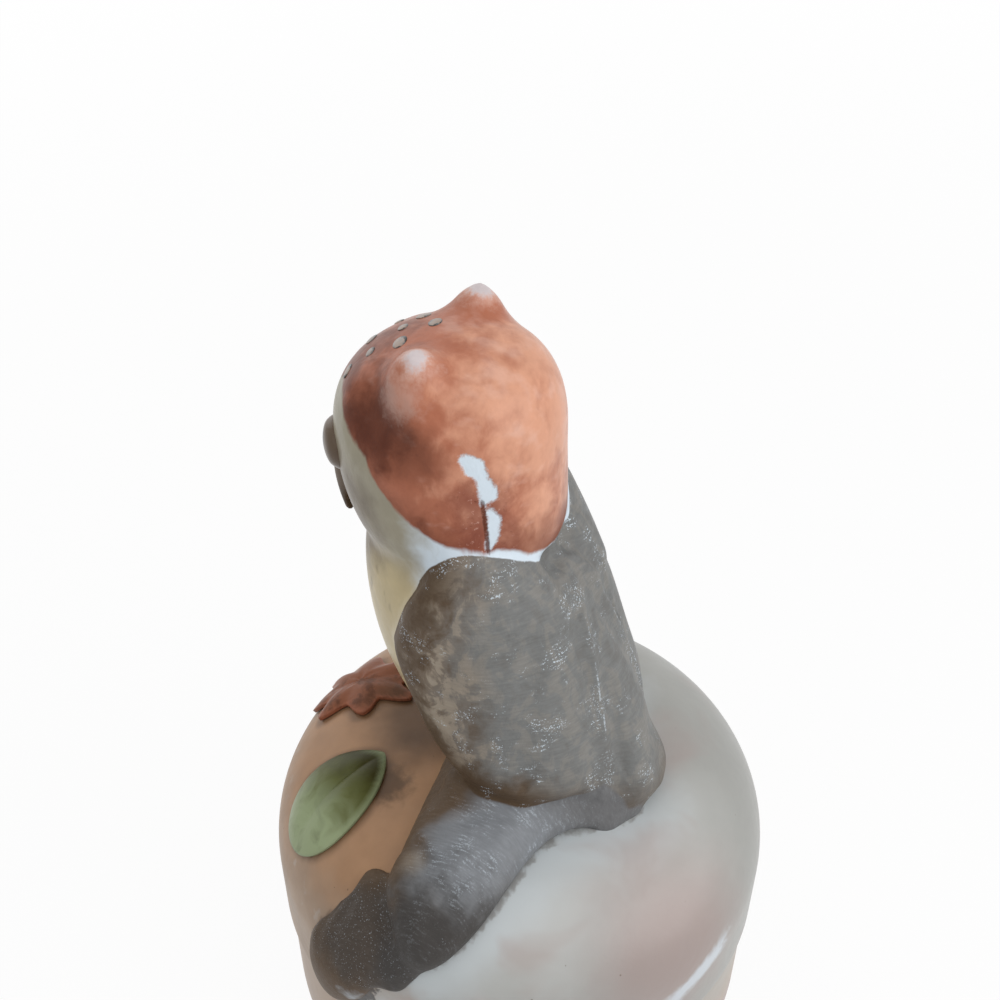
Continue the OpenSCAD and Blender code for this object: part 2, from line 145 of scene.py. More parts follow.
class FigureSizes(bpy.types.PropertyGroup):
    """Grain and softness of the modelled figure."""

    grain: length("Grain", "Spacing of the points of the modelled surface", 0.38 * MM)
    slip: length("Slip", "Depth of slip that closes the joints of the figure", 0.26 * MM)
    back: length("Back fill", "Depth of slip that joins wings, tail and log behind", 2.8 * MM)
    corner: length("Wing corners", "Extra slip at the front corners of the wings", 0.9 * MM)
    lumps: length("Lumps", "Height of the hand-modelled lumps of the log", 0.3 * MM)
    soft: count("Softening", "Rounds of softening", 12)
    fillet: count("Fillets", "Rounds of softening at joints", 24)
    brow: count("Brows", "Rounds of softening round the ears", 90)
    seam: length("Wing seam", "Height of the ridge along each wing's rear edge", 0.35 * MM)
    hollow: length("Hollow", "Depth of the hollow behind each brow", 1 * MM)
    dot: length("Dot", "Radius of a painted dot on the crown", 0.8 * MM)
    dot_rise: length("Dot rise", "Height of a painted dot on the crown", 0.18 * MM)


class Glazes(bpy.types.PropertyGroup):
    """Colours of the glazes."""

    pearl: glaze("Pearl", "White pearl of the lid", 188, 189, 187)
    # On the lid this grey is painted shade away from the dome's middle
    pearl_grey: glaze("Pearl grey", "Greyer pearl towards the rim", 166, 166, 162)
    pearl_pink: glaze("Pearl pink", "Pink and mauve tints in the pearl", 170, 154, 149)
    # Painted sheen on the lid beside the log
    pearl_sheen: glaze("Pearl blue", "Bluish white beside the log", 198, 206, 210)
    ground: glaze("Ground", "Tan ground in front of the owl", 170, 132, 100)
    ground_pale: glaze("Pale ground", "Ground thinning out at the shoulder", 166, 144, 124)
    # Painted shade on the ground, on the autumn leaf and under the seam
    ground_shade: glaze("Dark ground", "Shaded ground under the owl", 78, 56, 36)
    base: glaze("Base", "Beige of the base", 174, 156, 140)
    bark: glaze("Bark", "Grey of the log", 112, 112, 113)
    # Painted sheen on the top of the log
    bark_sheen: glaze("Cool bark", "Bluish worn top of the log", 134, 138, 143)
    # Also painted shade in the creases of the log and the wings
    bark_dark: glaze("Dark bark", "Dark grey hollows of the log", 72, 69, 67)
    # Also painted shade low on the wings, along their edges, under the beak and where the log meets
    # the lid
    umber: glaze("Umber", "Olive brown edges of log and wings", 92, 74, 56)
    wing: glaze("Wing", "Grey of the wings and tail", 120, 121, 120)
    wing_warm: glaze("Warm wing", "Warm grey of the wing's front", 130, 113, 95)
    # Also a painted highlight on the knob of the log
    wing_pale: glaze("Pale wing", "Pale brush marks on the wings", 168, 156, 140)
    rust: glaze("Rust", "Rust of the head", 178, 110, 84)
    # Partly painted shade on the cheeks and low on the head
    rust_dark: glaze("Dark rust", "Dark rust of the cheeks", 120, 62, 40)
    # Also painted shade in the hollows of the head
    rust_deep: glaze("Deep rust", "Red brown of the hollows", 88, 40, 22)
    dot: glaze("Dot", "Greyish tan of the dots on the crown", 150, 130, 116)
    stain: glaze("Stain", "Purplish brown staining round the crack", 122, 62, 50)
    # Partly painted light on the crown and nape
    peach: glaze("Peach", "Thin pale rust on the crown and nape", 216, 158, 130)
    # Also painted highlights and sheen on the head
    blush: glaze("Blush", "Pinkish white streaks in the rust", 228, 186, 170)
    # Bluish white of worn glaze, also the colour of painted highlights on the lid's rim, the ear
    # tips and the eyes
    bare_and_highlight: glaze("Bare", "Bluish white where the glaze has worn off", 212, 224, 234)
    face: glaze("Face", "Greyish white of the face", 160, 153, 134)
    breast: glaze("Breast", "Cream of the breast", 198, 182, 144)
    eye: glaze("Eye", "Olive brown of eyes, beak and toes", 92, 74, 56)
    eye_dark: glaze("Pupil", "Dark middle of the eyes", 28, 22, 18)
    leaf: glaze("Leaf", "Olive green of the leaf", 90, 94, 50)
    leaf_dark: glaze("Dark leaf", "Dark root of the leaf", 54, 52, 20)
    # Also a painted highlight along the leaf's rim
    leaf_pale: glaze("Pale leaf", "Pale grey green tip of the leaf", 152, 164, 128)
    fall: glaze("Autumn leaf", "Rust of the autumn leaf", 138, 86, 62)
    fall_dark: glaze("Autumn brown", "Brown of the autumn leaf's veins", 92, 56, 38)


class OwlBox(bpy.types.PropertyGroup):
    """All settings of the owl box."""

    box: bpy.props.PointerProperty(
        type=BoxSizes, name="Box", description="Sizes of the box")
    figure: bpy.props.PointerProperty(
        type=FigureSizes, name="Figure", description="Grain of the figure")
    glazes: bpy.props.PointerProperty(
        type=Glazes, name="Glazes", description="Colours of the glazes")


def settings():
    """Settings of the owl box in the scene."""
    return bpy.context.scene.owl_box


class Sheet:
    """A node tree, filled one node at a time."""

    def __init__(self, tree):
        self.tree = tree
        self.tree.nodes.clear()

    def feed(self, socket, value):
        """Links a socket to a level, a node or a socket, or sets its value."""
        if isinstance(value, Level):
            value = value.socket
        if isinstance(value, bpy.types.Node):
            value = value.outputs[0]
        if isinstance(value, bpy.types.NodeSocket):
            self.tree.links.new(value, socket)
        elif socket.type == "RGBA" and len(value) == 3:
            socket.default_value = (*value, 1)
        else:
            socket.default_value = value

    def node(self, kind, settings=None, inputs=None):
        """Adds a node, with its settings first and then its inputs."""
        made = self.tree.nodes.new(kind)
        for key, value in (settings or {}).items():
            setattr(made, key, value)
        for key, value in (inputs or {}).items():
            self.feed(made.inputs[key], value)
        return made


class Level:
    """A number that changes over a surface; arithmetic on it adds Math nodes."""

    def __init__(self, sheet, socket):
        self.sheet = sheet
        self.socket = socket

    def math(self, operation, *values):
        """Level from one Math node."""
        made = self.sheet.node("ShaderNodeMath", {"operation": operation}, dict(enumerate(values)))
        return Level(self.sheet, made.outputs[0])

    def __add__(self, other):
        return self.math("ADD", self, other)

    def __sub__(self, other):
        return self.math("SUBTRACT", self, other)

    def __rsub__(self, other):
        return self.math("SUBTRACT", other, self)

    def __mul__(self, other):
        return self.math("MULTIPLY", self, other)

    def __truediv__(self, other):
        return self.math("DIVIDE", self, other)

    def __pow__(self, other):
        return self.math("POWER", self, other)

    __radd__ = __add__
    __rmul__ = __mul__

    def above(self, other):
        """The greater of two levels."""
        return self.math("MAXIMUM", self, other)

    def size(self):
        """The level without its sign."""
        return self.math("ABSOLUTE", self)

    def sway(self, reach):
        """Swing of a cloudy level about its middle, times a reach."""
        return (self - 0.5) * reach

    def step(self, low, high):
        """Soft step from 0 at one value to 1 at the other."""
        made = self.sheet.node(
            "ShaderNodeMapRange", {"interpolation_type": "SMOOTHSTEP"},
            {"Value": self, "From Min": low, "From Max": high})
        return Level(self.sheet, made.outputs[0])


class Recipe(Sheet):
    """A glaze: one Principled shader and what varies over it. Lengths are millimetres."""

    def __init__(self, name, gloss=0.5, coat=0.0, coat_rough=0.03):
        self.material = bpy.data.materials.new(name)
        self.material.use_nodes = True
        super().__init__(self.material.node_tree)
        self.shader = self.node("ShaderNodeBsdfPrincipled", None, {
            "Specular IOR Level": gloss, "Coat Weight": coat, "Coat Roughness": coat_rough})
        self.node("ShaderNodeOutputMaterial", None, {"Surface": self.shader})
        place = self.node("ShaderNodeTexCoord").outputs["Object"]
        scaled = self.node(
            "ShaderNodeVectorMath", {"operation": "SCALE"}, {0: place, "Scale": 1 / MM})
        self.place = scaled.outputs[0]
        parts = self.node("ShaderNodeSeparateXYZ", None, {0: self.place})
        self.x, self.y, self.z = (Level(self, s) for s in parts.outputs)

    def noise(self, size, detail=3, rough=0.5, stretch=(1, 1, 1), turn=(0, 0, 0), twist=0):
        """Cloudy level about 0.5 whose patches are about that size."""
        turned_by = [math.radians(a) for a in turn]
        place = self.node("ShaderNodeMapping", None, {
            "Vector": self.place, "Rotation": turned_by, "Scale": stretch})
        made = self.node("ShaderNodeTexNoise", None, {
            "Vector": place, "Scale": 1 / size, "Detail": detail, "Roughness": rough,
            "Distortion": twist})
        return Level(self, made.outputs[0])

    def field(self, name):
        """Level kept on the mesh."""
        made = self.node("ShaderNodeAttribute", {"attribute_name": name})
        return Level(self, made.outputs["Fac"])

    def near(self, spot, both=False):
        """Distance from a place, or from the place and its mirror image."""
        across = self.x.size() if both else self.x
        place = self.node("ShaderNodeCombineXYZ", None, {0: across, 1: self.y, 2: self.z})
        made = self.node("ShaderNodeVectorMath", {"operation": "DISTANCE"}, {0: place, 1: spot})
        return Level(self, made.outputs["Value"])

    def mix(self, first, second, share):
        """Colour between two colours."""
        made = self.node("ShaderNodeMix", {"data_type": "RGBA"}, {0: share, 6: first, 7: second})
        return made.outputs[2]

    def tone(self, colour, level):
        """Colour made darker or lighter by a level about 1."""
        grey = self.node("ShaderNodeCombineXYZ", None, {0: level, 1: level, 2: level})
        kind = {"data_type": "RGBA", "blend_type": "MULTIPLY"}
        return self.node("ShaderNodeMix", kind, {0: 1.0, 6: colour, 7: grey}).outputs[2]

    def finish(self, colour, rough, relief, depth, coat=None):
        """Ends the glaze: its colour, its roughness, a relief of a depth and a coat that varies."""
        bump = self.node("ShaderNodeBump", None, {
            "Height": relief, "Distance": depth * MM, "Strength": 1.0})
        ends = {"Base Color": colour, "Roughness": rough, "Normal": bump}
        if coat is not None:
            ends["Coat Weight"] = coat
        for key, value in ends.items():
            self.feed(self.shader.inputs[key], value)
        return self.material


class Rule(Sheet):
    """A Geometry Nodes tree with named inputs; its result becomes a plain mesh."""

    def __init__(self, name, **inputs):
        tree = bpy.data.node_groups.new(name, "GeometryNodeTree")
        super().__init__(tree)
        tree.interface.new_socket("Geometry", in_out="INPUT", socket_type="NodeSocketGeometry")
        tree.interface.new_socket("Geometry", in_out="OUTPUT", socket_type="NodeSocketGeometry")
        self.keys = {}
        for key, kind in inputs.items():
            made = tree.interface.new_socket(key, in_out="INPUT", socket_type="NodeSocket" + kind)
            self.keys[key] = made.identifier
        self.given = self.node("NodeGroupInput").outputs

    def close(self, shape):
        """Ends the tree in plain faces with smooth shading and the glaze."""
        real = self.node("GeometryNodeRealizeInstances", None, {"Geometry": shape})
        smooth = self.node("GeometryNodeSetShadeSmooth", None, {"Geometry": real})
        done = self.node("GeometryNodeSetMaterial", None, {
            "Geometry": smooth, "Material": self.given["Glaze"]})
        self.node("NodeGroupOutput", None, {"Geometry": done})

    def run(self, obj, **values):
        """Runs the tree on an object with values for its inputs."""
        made = obj.modifiers.new(self.tree.name, "NODES")
        made.node_group = self.tree
        for key, value in values.items():
            made[self.keys[key]] = value
        settle(obj)


def settle(obj):
    """Turns an object's modifiers into plain mesh."""
    graph = bpy.context.evaluated_depsgraph_get()
    made = obj.evaluated_get(graph)
    mesh = bpy.data.meshes.new_from_object(made, preserve_all_data_layers=True, depsgraph=graph)
    obj.modifiers.clear()
    obj.data = mesh


def new_object(name, data):
    """Object of a mesh, a lamp or a camera, in the scene."""
    obj = bpy.data.objects.new(name, data)
    bpy.context.scene.collection.objects.link(obj)
    return obj


def outward(obj):
    """Merges an object's doubles and points its faces outwards."""
    bm = bmesh.new()
    bm.from_mesh(obj.data)
    bmesh.ops.remove_doubles(bm, verts=bm.verts, dist=TWIN)
    bmesh.ops.recalc_face_normals(bm, faces=bm.faces)
    bm.to_mesh(obj.data)
    bm.free()
    return obj


def rest_on(obj, body, slot, *nodes):
    """Sets a piece on its body and hides the CAD nodes that it stands for; the slot is not used."""
    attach(obj, body)
    if nodes:
        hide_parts(*nodes)


def places(mesh):
    """Places of a mesh's points."""
    return np.array([v.co for v in mesh.vertices])


def facings(mesh):
    """Directions that a mesh's points face."""
    return np.array([v.normal for v in mesh.vertices])


def keep(mesh, name, values):
    """Keeps a level at each point of a mesh, for its glaze."""
    made = mesh.attributes.new(name, "FLOAT", "POINT")
    made.data.foreach_set("value", np.ascontiguousarray(values, dtype=np.float32))


def merged(node):
    """Copy of a CAD node with its loose triangles joined."""
    bm = bmesh.new()
    bm.from_mesh(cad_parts[node].data)
    bmesh.ops.remove_doubles(bm, verts=bm.verts, dist=SAME)
    bm.normal_update()
    return bm


def tree_of(node):
    """Search tree of a CAD node."""
    bm = merged(node)
    tree = BVHTree.FromBMesh(bm)
    bm.free()
    return tree


def rounded_copy(node, name, sharp_from=None):
    """Copy of a CAD node with its facets rounded off; edges past an angle may stay sharp."""
    bm = merged(node)
    bmesh.ops.join_triangles(
        bm, faces=bm.faces, angle_face_threshold=math.radians(JOIN_BEND),
        angle_shape_threshold=math.radians(JOIN_SKEW))
    if sharp_from is not None:
        sharp = bm.edges.layers.float.new("crease_edge")
        tip = bm.verts.layers.float.new("crease_vert")
        for edge in bm.edges:
            edge[sharp] = float(edge.calc_face_angle(0) > math.radians(sharp_from))
        for v in bm.verts:
            rim = [e.other_vert(v).co - v.co for e in v.link_edges if e[sharp]]
            v[tip] = float(len(rim) == 2 and rim[0].angle(rim[1]) < math.radians(TIP_ANGLE))
    mesh = bpy.data.meshes.new(name)
    bm.to_mesh(mesh)
    bm.free()
    obj = new_object(name, mesh)
    made = obj.modifiers.new("round", "SUBSURF")
    made.levels = made.render_levels = ROUNDING
    settle(obj)
    obj.data.polygons.foreach_set("use_smooth", [True] * len(obj.data.polygons))
    return obj


def reshape(obj, change):
    """Moves an object's points by a function of their places and normals, in millimetres."""
    mesh = obj.data
    made = change(places(mesh) / MM, facings(mesh)) * MM
    mesh.vertices.foreach_set("co", made.astype(np.float32).ravel())
    mesh.update()


def sprig(node, name, material, change):
    """Rounded and reshaped copy of a small CAD node of the figure, set on the lid."""
    obj = rounded_copy(node, name)
    reshape(obj, change)
    obj.data.materials.append(material)
    rest_on(obj, "lid", "face_brown", node)


class Clay:
    """Modelled surface of several CAD nodes luted together; slip gives its depth at points."""

    WAVES = 7

    def __init__(self, name, nodes, slip, grain, pads=()):
        bm = bmesh.new()
        for place in pads:
            bmesh.ops.create_icosphere(bm, subdivisions=3, radius=1, matrix=place)
        for node in nodes:
            part = merged(node)
            depth = slip(np.array([v.co for v in part.verts]) / MM)
            for v, d in zip(part.verts, depth):
                v.co += v.normal * d
            mesh = bpy.data.meshes.new(node)
            part.to_mesh(mesh)
            part.free()
            bm.from_mesh(mesh)
            bpy.data.meshes.remove(mesh)
        mesh = bpy.data.meshes.new(name)
        bm.to_mesh(mesh)
        bm.free()
        self.obj = new_object(name, mesh)
        made = self.obj.modifiers.new("grain", "REMESH")
        made.mode = "VOXEL"
        made.voxel_size = grain
        made.use_smooth_shade = True
        settle(self.obj)
        self.mesh = self.obj.data
        count = len(self.mesh.vertices)
        self.at = np.empty(count * 3)
        self.mesh.vertices.foreach_get("co", self.at)
        self.at = self.at.reshape(-1, 3)
        self.edges = np.empty(len(self.mesh.edges) * 2, dtype=np.int64)
        self.mesh.edges.foreach_get("vertices", self.edges)
        self.edges = self.edges.reshape(-1, 2)
        self.degree = np.maximum(np.bincount(self.edges.ravel(), minlength=count), 1)
        self.soften(3)
        self.push(-slip(self.millimetres()))

    def on_surface(self, path, number):
        """Places on the surface next to a path, with the two sides folded together."""
        p = self.folded()
        share = np.linspace(0, len(path) - 1, number)
        ways = np.column_stack([np.interp(share, range(len(path)), axis) for axis in zip(*path)])
        return [(p[((p - w) ** 2).sum(1).argmin()], 0) for w in ways]

    def mean(self, values):
        """Mean of the neighbours of each point."""
        total = np.zeros_like(values)
        np.add.at(total, self.edges[:, 0], values[self.edges[:, 1]])
        np.add.at(total, self.edges[:, 1], values[self.edges[:, 0]])
        return total / (self.degree[:, None] if values.ndim == 2 else self.degree)

    def soften(self, rounds, share=None):
        """Draws each point towards its neighbours, some points more than others."""
        pull = 0.5 if share is None else 0.5 * share[:, None]
        for _ in range(rounds):
            self.at += pull * (self.mean(self.at) - self.at)

    def normals(self):
        """Writes the points to the mesh and gives the way that each one faces."""
        self.mesh.vertices.foreach_set("co", self.at.ravel())
        self.mesh.update()
        out = np.empty(len(self.at) * 3)
        self.mesh.vertex_normals.foreach_get("vector", out)
        return out.reshape(-1, 3)

    def push(self, amount):
        """Moves the points outwards by an amount in metres."""
        amount = np.broadcast_to(np.asarray(amount, float), (len(self.at),))
        self.at += self.normals() * amount[:, None]

    def millimetres(self):
        """Places of the points."""
        return self.at / MM

    def folded(self):
        """Places of the points, with those of the owl's right side on its left."""
        p = self.millimetres()
        return np.column_stack((abs(p[:, 0]), p[:, 1:]))

    def swell(self, centre, reach, height, both=False):
        """Amount of a soft swelling, or of a hollow where the height is less than nothing."""
        p = self.folded() if both else self.millimetres()
        q = np.linalg.norm(p - np.array(centre), axis=1) / reach
        return height * MM * np.clip(1 - q * q, 0, None) ** 2

    def rolling(self, size, seed):
        """Smooth random level between -1 and 1 with patches of a size in millimetres."""
        p = self.millimetres() / size
        spin = np.random.default_rng(seed)
        total = np.zeros(len(p))
        for _ in range(self.WAVES):
            way = spin.normal(size=3)
            total += np.sin(p @ way * 2.4 + spin.uniform(0, 2 * math.pi))
        return np.clip(total / (self.WAVES / 2), -1, 1)

    def ridge(self):
        """How far each point stands out of its surroundings, in tenths of a millimetre."""
        out = ((self.at - self.mean(self.at)) * self.normals()).sum(1) / (0.1 * MM)
        for _ in range(2):
            out = 0.5 * out + 0.5 * self.mean(out)
        return out

    def done(self, material):
        """Ends the modelling with a glaze."""
        self.normals()
        self.mesh.materials.clear()
        self.mesh.materials.append(material)
        return self.obj


def from_path(points, path):
    """Distance from points to a path, less the path's own half width at the nearest place."""
    best = np.full(len(points), 1e9)
    for (a, wide_a), (b, wide_b) in zip(path[:-1], path[1:]):
        a, b = np.array(a), np.array(b)
        t = np.clip((points - a) @ (b - a) / ((b - a) @ (b - a)), 0, 1)
        near = a + t[:, None] * (b - a)
        wide = wide_a + t * (wide_b - wide_a)
        best = np.minimum(best, np.linalg.norm(points - near, axis=1) - wide)
    return best


def bell(values, wide):
    """Smooth bump of an array, 1 where it is 0."""
    return np.exp(-(values / wide) ** 2)


def eased(values, low, high):
    """Soft step of an array from 0 at one value to 1 at the other."""
    t = np.clip((values - low) / (high - low), 0, 1)
    return t * t * (3 - 2 * t)


def gap_to(points, *nodes):
    """Distance of points in metres from CAD nodes, in millimetres."""
    best = np.full(len(points), 1e9)
    for node in nodes:
        tree = tree_of(node)
        best = np.minimum(best, [tree.find_nearest(p)[3] / MM for p in points])
    return best


def outline(points):
    """Convex outline of flat points, in order."""
    points = sorted(map(tuple, points))
    rims = []
    for row in (points, points[::-1]):
        rim = []
        for p in row:
            while len(rim) > 1 and (rim[-1][0] - rim[-2][0]) * (p[1] - rim[-2][1]) <= (
                    rim[-1][1] - rim[-2][1]) * (p[0] - rim[-2][0]):
                rim.pop()
            rim.append(p)
        rims += rim[:-1]
    return rims + rims[:1]


def pad_on(node, x, y, wide, thick):
    """Place of a pad of clay on a CAD node at a spot of its plan, in millimetres.

    The spot is found from above, or from the side if it lies past the node's rim: the farther
    out, the lower down.
    """
    far = math.hypot(x, y)
    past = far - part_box(node)[1].x / MM
    if past < -INSIDE:
        start, way = Vector((x, y, ABOVE)), Vector((0, 0, -1))
    else:
        start = Vector((x / far * BESIDE, y / far * BESIDE, SIDE_HIGH - past * SIDE_FALL))
        way = Vector((-x, -y, 0)).normalized()
    spot, face, _, _ = tree_of(node).ray_cast(start * MM, way)
    turn = face.to_track_quat("Z", "Y").to_matrix().to_4x4()
    return Matrix.Translation(spot) @ turn @ Matrix.Diagonal((wide * MM, wide * MM, thick * MM, 1))


def arc(x, z, radius, start, end, number):
    """Points on an arc; angles are degrees from straight up towards the outside."""
    return [(x + radius * math.sin(math.radians(a)), z + radius * math.cos(math.radians(a)))
            for a in np.linspace(start, end, number)]


def line(a, b, number):
    """Points on a straight line."""
    return [(a[0] + (b[0] - a[0]) * t, a[1] + (b[1] - a[1]) * t) for t in np.linspace(0, 1, number)]


def turned(name, section, steps, material):
    """Turned form from its half section, made by the rule of a lathe."""
    mesh = bpy.data.meshes.new(name)
    edges = [(i, i + 1) for i in range(len(section) - 1)]
    mesh.from_pydata([(x, 0, z) for x, z in section], edges, [])
    obj = new_object(name, mesh)
    rule = Rule("turned_" + name, Steps="Int", Glaze="Material")
    half = {"Geometry": rule.given["Geometry"]}
    points = rule.node("GeometryNodeAttributeDomainSize", None, half).outputs["Point Count"]
    steps_round = Level(rule, rule.given["Steps"])
    number = Level(rule, rule.node("GeometryNodeInputIndex").outputs[0])
    along = number.math("FLOORED_MODULO", number, points)
    turn = (number / points).math("FLOOR", number / points) / steps_round * (2 * math.pi)
    spot = rule.node(
        "GeometryNodeSampleIndex", {"data_type": "FLOAT_VECTOR", "domain": "POINT"},
        {**half, "Value": rule.node("GeometryNodeInputPosition"), "Index": along})
    place = rule.node(
        "ShaderNodeVectorRotate", {"rotation_type": "Z_AXIS"}, {"Vector": spot, "Angle": turn})
    grid = rule.node("GeometryNodeMeshGrid", None, {
        "Vertices X": steps_round + 1, "Vertices Y": points})
    moved = rule.node("GeometryNodeSetPosition", None, {"Geometry": grid, "Position": place})
    rule.close(rule.node("GeometryNodeMergeByDistance", None, {
        "Geometry": moved, "Distance": SAME}))
    rule.run(obj, Steps=steps, Glaze=material)
    return outward(obj)


def base_section(s):
    """Half section of the base, from the middle of its underside to the middle of its floor."""
    inner = s.base_radius - s.wall
    heel_x = s.base_radius - s.heel
    foot_out = heel_x + s.foot_wide / 2
    foot_in = foot_out - s.foot_wide
    lift = s.heel - math.sqrt(s.heel ** 2 - (foot_out - heel_x) ** 2)
    first = math.degrees(math.asin((foot_out - heel_x) / s.heel))
    out = line((0, s.foot_high), (foot_in, s.foot_high), 8)
    out += arc(foot_in + SOFT, SOFT, SOFT, 270, 180, 5)
    out += arc(foot_out - SOFT, SOFT, SOFT, 180, 90, 5)
    out += [(foot_out, s.foot_high + lift)]
    out += arc(heel_x, s.foot_high + s.heel, s.heel, 180 - first, 90, 16)[1:]
    out += line((s.base_radius, s.foot_high + s.heel), (s.base_radius, s.seat - s.edge), 8)[1:]
    out += arc(s.base_radius - s.edge, s.seat - s.edge, s.edge, 90, 0, 7)[1:]
    out += arc(inner + SOFT, s.seat - SOFT, SOFT, 0, -90, 5)
    floor = s.foot_high + s.wall
    hollow = s.heel - s.wall
    out += line((inner, s.seat - SOFT), (inner, floor + hollow), 8)[1:]
    out += arc(inner - hollow, floor + hollow, hollow, 90, 180, 12)[1:]
    out += line((inner - hollow, floor), (0, floor), 8)[1:]
    return out


def lid_section(s):
    """Half section of the lid, from the top of its dome round rim and ring to its ceiling."""
    middle = s.apex - s.crown
    turn_x = s.radius - s.shoulder
    turn_z = middle + math.sqrt((s.crown - s.shoulder) ** 2 - turn_x ** 2)
    lean = math.degrees(math.asin(turn_x / (s.crown - s.shoulder)))
    ring_out = s.base_radius - s.wall - s.ring_gap
    ring_in = ring_out - s.ring_wide
    inner = s.radius - s.wall
    out = arc(0, middle, s.crown, 0, lean, 12)
    out += arc(turn_x, turn_z, s.shoulder, lean, 90, 26)[1:]
    out += line((s.radius, turn_z), (s.radius, s.seat + s.edge), 8)[1:]
    out += arc(s.radius - s.edge, s.seat + s.edge, s.edge, 90, 180, 7)[1:]
    out += [(ring_out, s.seat)]
    out += arc(ring_out - SOFT, s.ring_low + SOFT, SOFT, 90, 180, 5)
    out += arc(ring_in + SOFT, s.ring_low + SOFT, SOFT, 180, 270, 5)
    web = s.seat + s.ring_web
    out += [(ring_in, web - SOFT), (ring_in + SOFT, web)]
    out += line((inner, web), (inner, turn_z), 6)
    out += arc(turn_x, turn_z, s.shoulder - s.wall, 90, lean, 16)[1:]
    out += arc(0, middle, s.crown - s.wall, lean, 0, 10)[1:]
    return out


def base_glaze(g):
    """Beige of the base: tan wash in front, painted shade under the seam, pearl behind, an unglazed
    foot and small pits.
    """
    r = Recipe("beige_glaze", gloss=0.2, coat=0.1, coat_rough=0.3)
    cloud = r.noise(9, 3)
    fine = r.noise(1.2, 4)
    front = (r.x * 0.1 - r.y + cloud.sway(16)).step(-4, 6)
    colour = r.mix(g.base, g.pearl_pink, cloud.step(0.42, 0.66) * 0.8)
    colour = r.mix(colour, g.pearl_grey, (1 - front) * (r.z + cloud.sway(12)).step(10, 24) * 0.7)
    colour = r.mix(colour, g.ground_pale, front * (r.z + cloud.sway(12)).step(4, 22) * 0.9)
    # Painted shade: a dark band just under the seam in front
    colour = r.mix(colour, g.ground_shade, (r.z + fine.sway(1.5)).step(28.4, 29.6) * front * 0.4)
    under = r.z.step(2.6, 0.6)
    colour = r.mix(colour, g.breast, under * 0.7)
    pits = r.noise(0.7, 2).step(0.74, 0.8)
    colour = r.mix(colour, g.umber, pits * 0.35)
    return r.finish(colour, 0.42 + fine.sway(0.1) + under * 0.2, cloud + fine * 0.06, 0.2)


def pearl_glaze(g):
    """Pearl of the lid, with painted sheen and shade, the tan ground in front with painted shade,
    the grey that ran from the log and a painted highlight above the rim.
    """
    r = Recipe("pearl_glaze", gloss=0.25, coat_rough=0.22)
    cloud = r.noise(13, 3, twist=0.6)
    other = r.noise(9, 3, stretch=(1, 1, 1.5), turn=(20, 40, 70))
    fine = r.noise(1.1, 4)
    log_gap = r.field("log_gap")
    # Painted shade: the pearl greys away from the middle of the dome, where it turns from the light
    colour = r.mix(g.pearl, g.pearl_grey, r.near(LID_MIDDLE).step(10, 28) + other.sway(0.6))
    # Painted sheen: bluish white on the lid beside the log
    colour = r.mix(colour, g.pearl_sheen, (log_gap + other.sway(7)).step(8, 0) * 0.7)
    colour = r.mix(colour, g.pearl_pink, cloud.step(0.5, 0.7) * 0.5)
    colour = r.mix(colour, g.pearl_pink, (r.near(PINK_PATCH) + cloud.sway(9)).step(17, 4) * 0.9)
    # Painted shade: the lid darker farther from the log
    colour = r.tone(colour, 1 - (log_gap + other.sway(8)).step(5, 19) * 0.16)
    # Tan ground in front of the owl, with painted shade under the owl and its wing and painted
    # shadows of the leaves
    tan = r.x * 0.1 - r.y - 1 - (r.x - 27).above(0) * 1.2 + cloud.sway(12) + other.sway(8)
    tan = tan.step(-4.5, 4)
    thin = (r.z * -1 + other.sway(14) + cloud.sway(8)).step(-51, -35)
    ground = r.mix(g.ground, g.ground_pale, thin)
    ground = r.mix(ground, g.ground_shade, (r.near(OWL_SHADE) + other.sway(10)).step(11, 3) * 0.85)
    ground = r.mix(ground, g.ground_shade, (r.near(LEAF_SHADE) + fine.sway(3)).step(4.2, 1.2) * 0.85)
    # Painted shade on the ground beside the leaves
    beside = (r.field("leaf_gap") + other.sway(2)).step(1.4, 0.2)
    ground = r.mix(ground, g.ground_shade, beside * 0.5)
    # Painted sheen: pale streaks in the ground low on the front shoulder
    pale_sheen = r.noise(2.4, 4, 0.6, stretch=(1, 1, 0.5)).step(0.58, 0.7) * (r.z * -1).step(-46, -41)
    ground = r.mix(ground, g.pearl, pale_sheen * 0.25)
    ground = r.tone(ground, 0.96 + r.noise(5, 4).sway(0.5))
    colour = r.mix(colour, ground, tan)
    # Grey that ran from the log over the shoulder, with a ragged edge
    run = r.field("run_in") + r.noise(2.2, 4, 0.6).sway(3.4) + fine.sway(1.2)
    grey = r.mix(g.umber, g.bark_dark, (fine * 0.5 + other * 0.5).step(0.42, 0.62))
    colour = r.mix(colour, grey, run.step(-0.25, 0.3))
    # Painted shade: a thin umber line where the log meets the lid
    colour = r.mix(colour, g.umber, (log_gap + fine.sway(0.8)).step(0.5, 0.12) * 0.5)
    # Painted highlight: a pale streak above the rim
    rim_highlight = (r.z - 35.3 + (r.x - 12.5) * 0.35 + other.sway(3) + fine.sway(1.4)).size().step(2.4, 0.6)
    rim_highlight = rim_highlight * r.y.step(26, 29) * (r.x + fine.sway(5)).step(6, 9.5)
    colour = r.mix(colour, g.bare_and_highlight, rim_highlight * 0.65)
    specks = r.noise(0.8, 1).step(0.79, 0.83)
    colour = r.mix(colour, g.umber, specks * 0.55)
    colour = r.mix(colour, g.pearl, r.field("inside"))
    rough = 0.4 + fine.sway(0.12) + tan * 0.04
    return r.finish(colour, rough, cloud * 1.6 + fine * 0.12, 0.22, 0.16 - tan * 0.1)


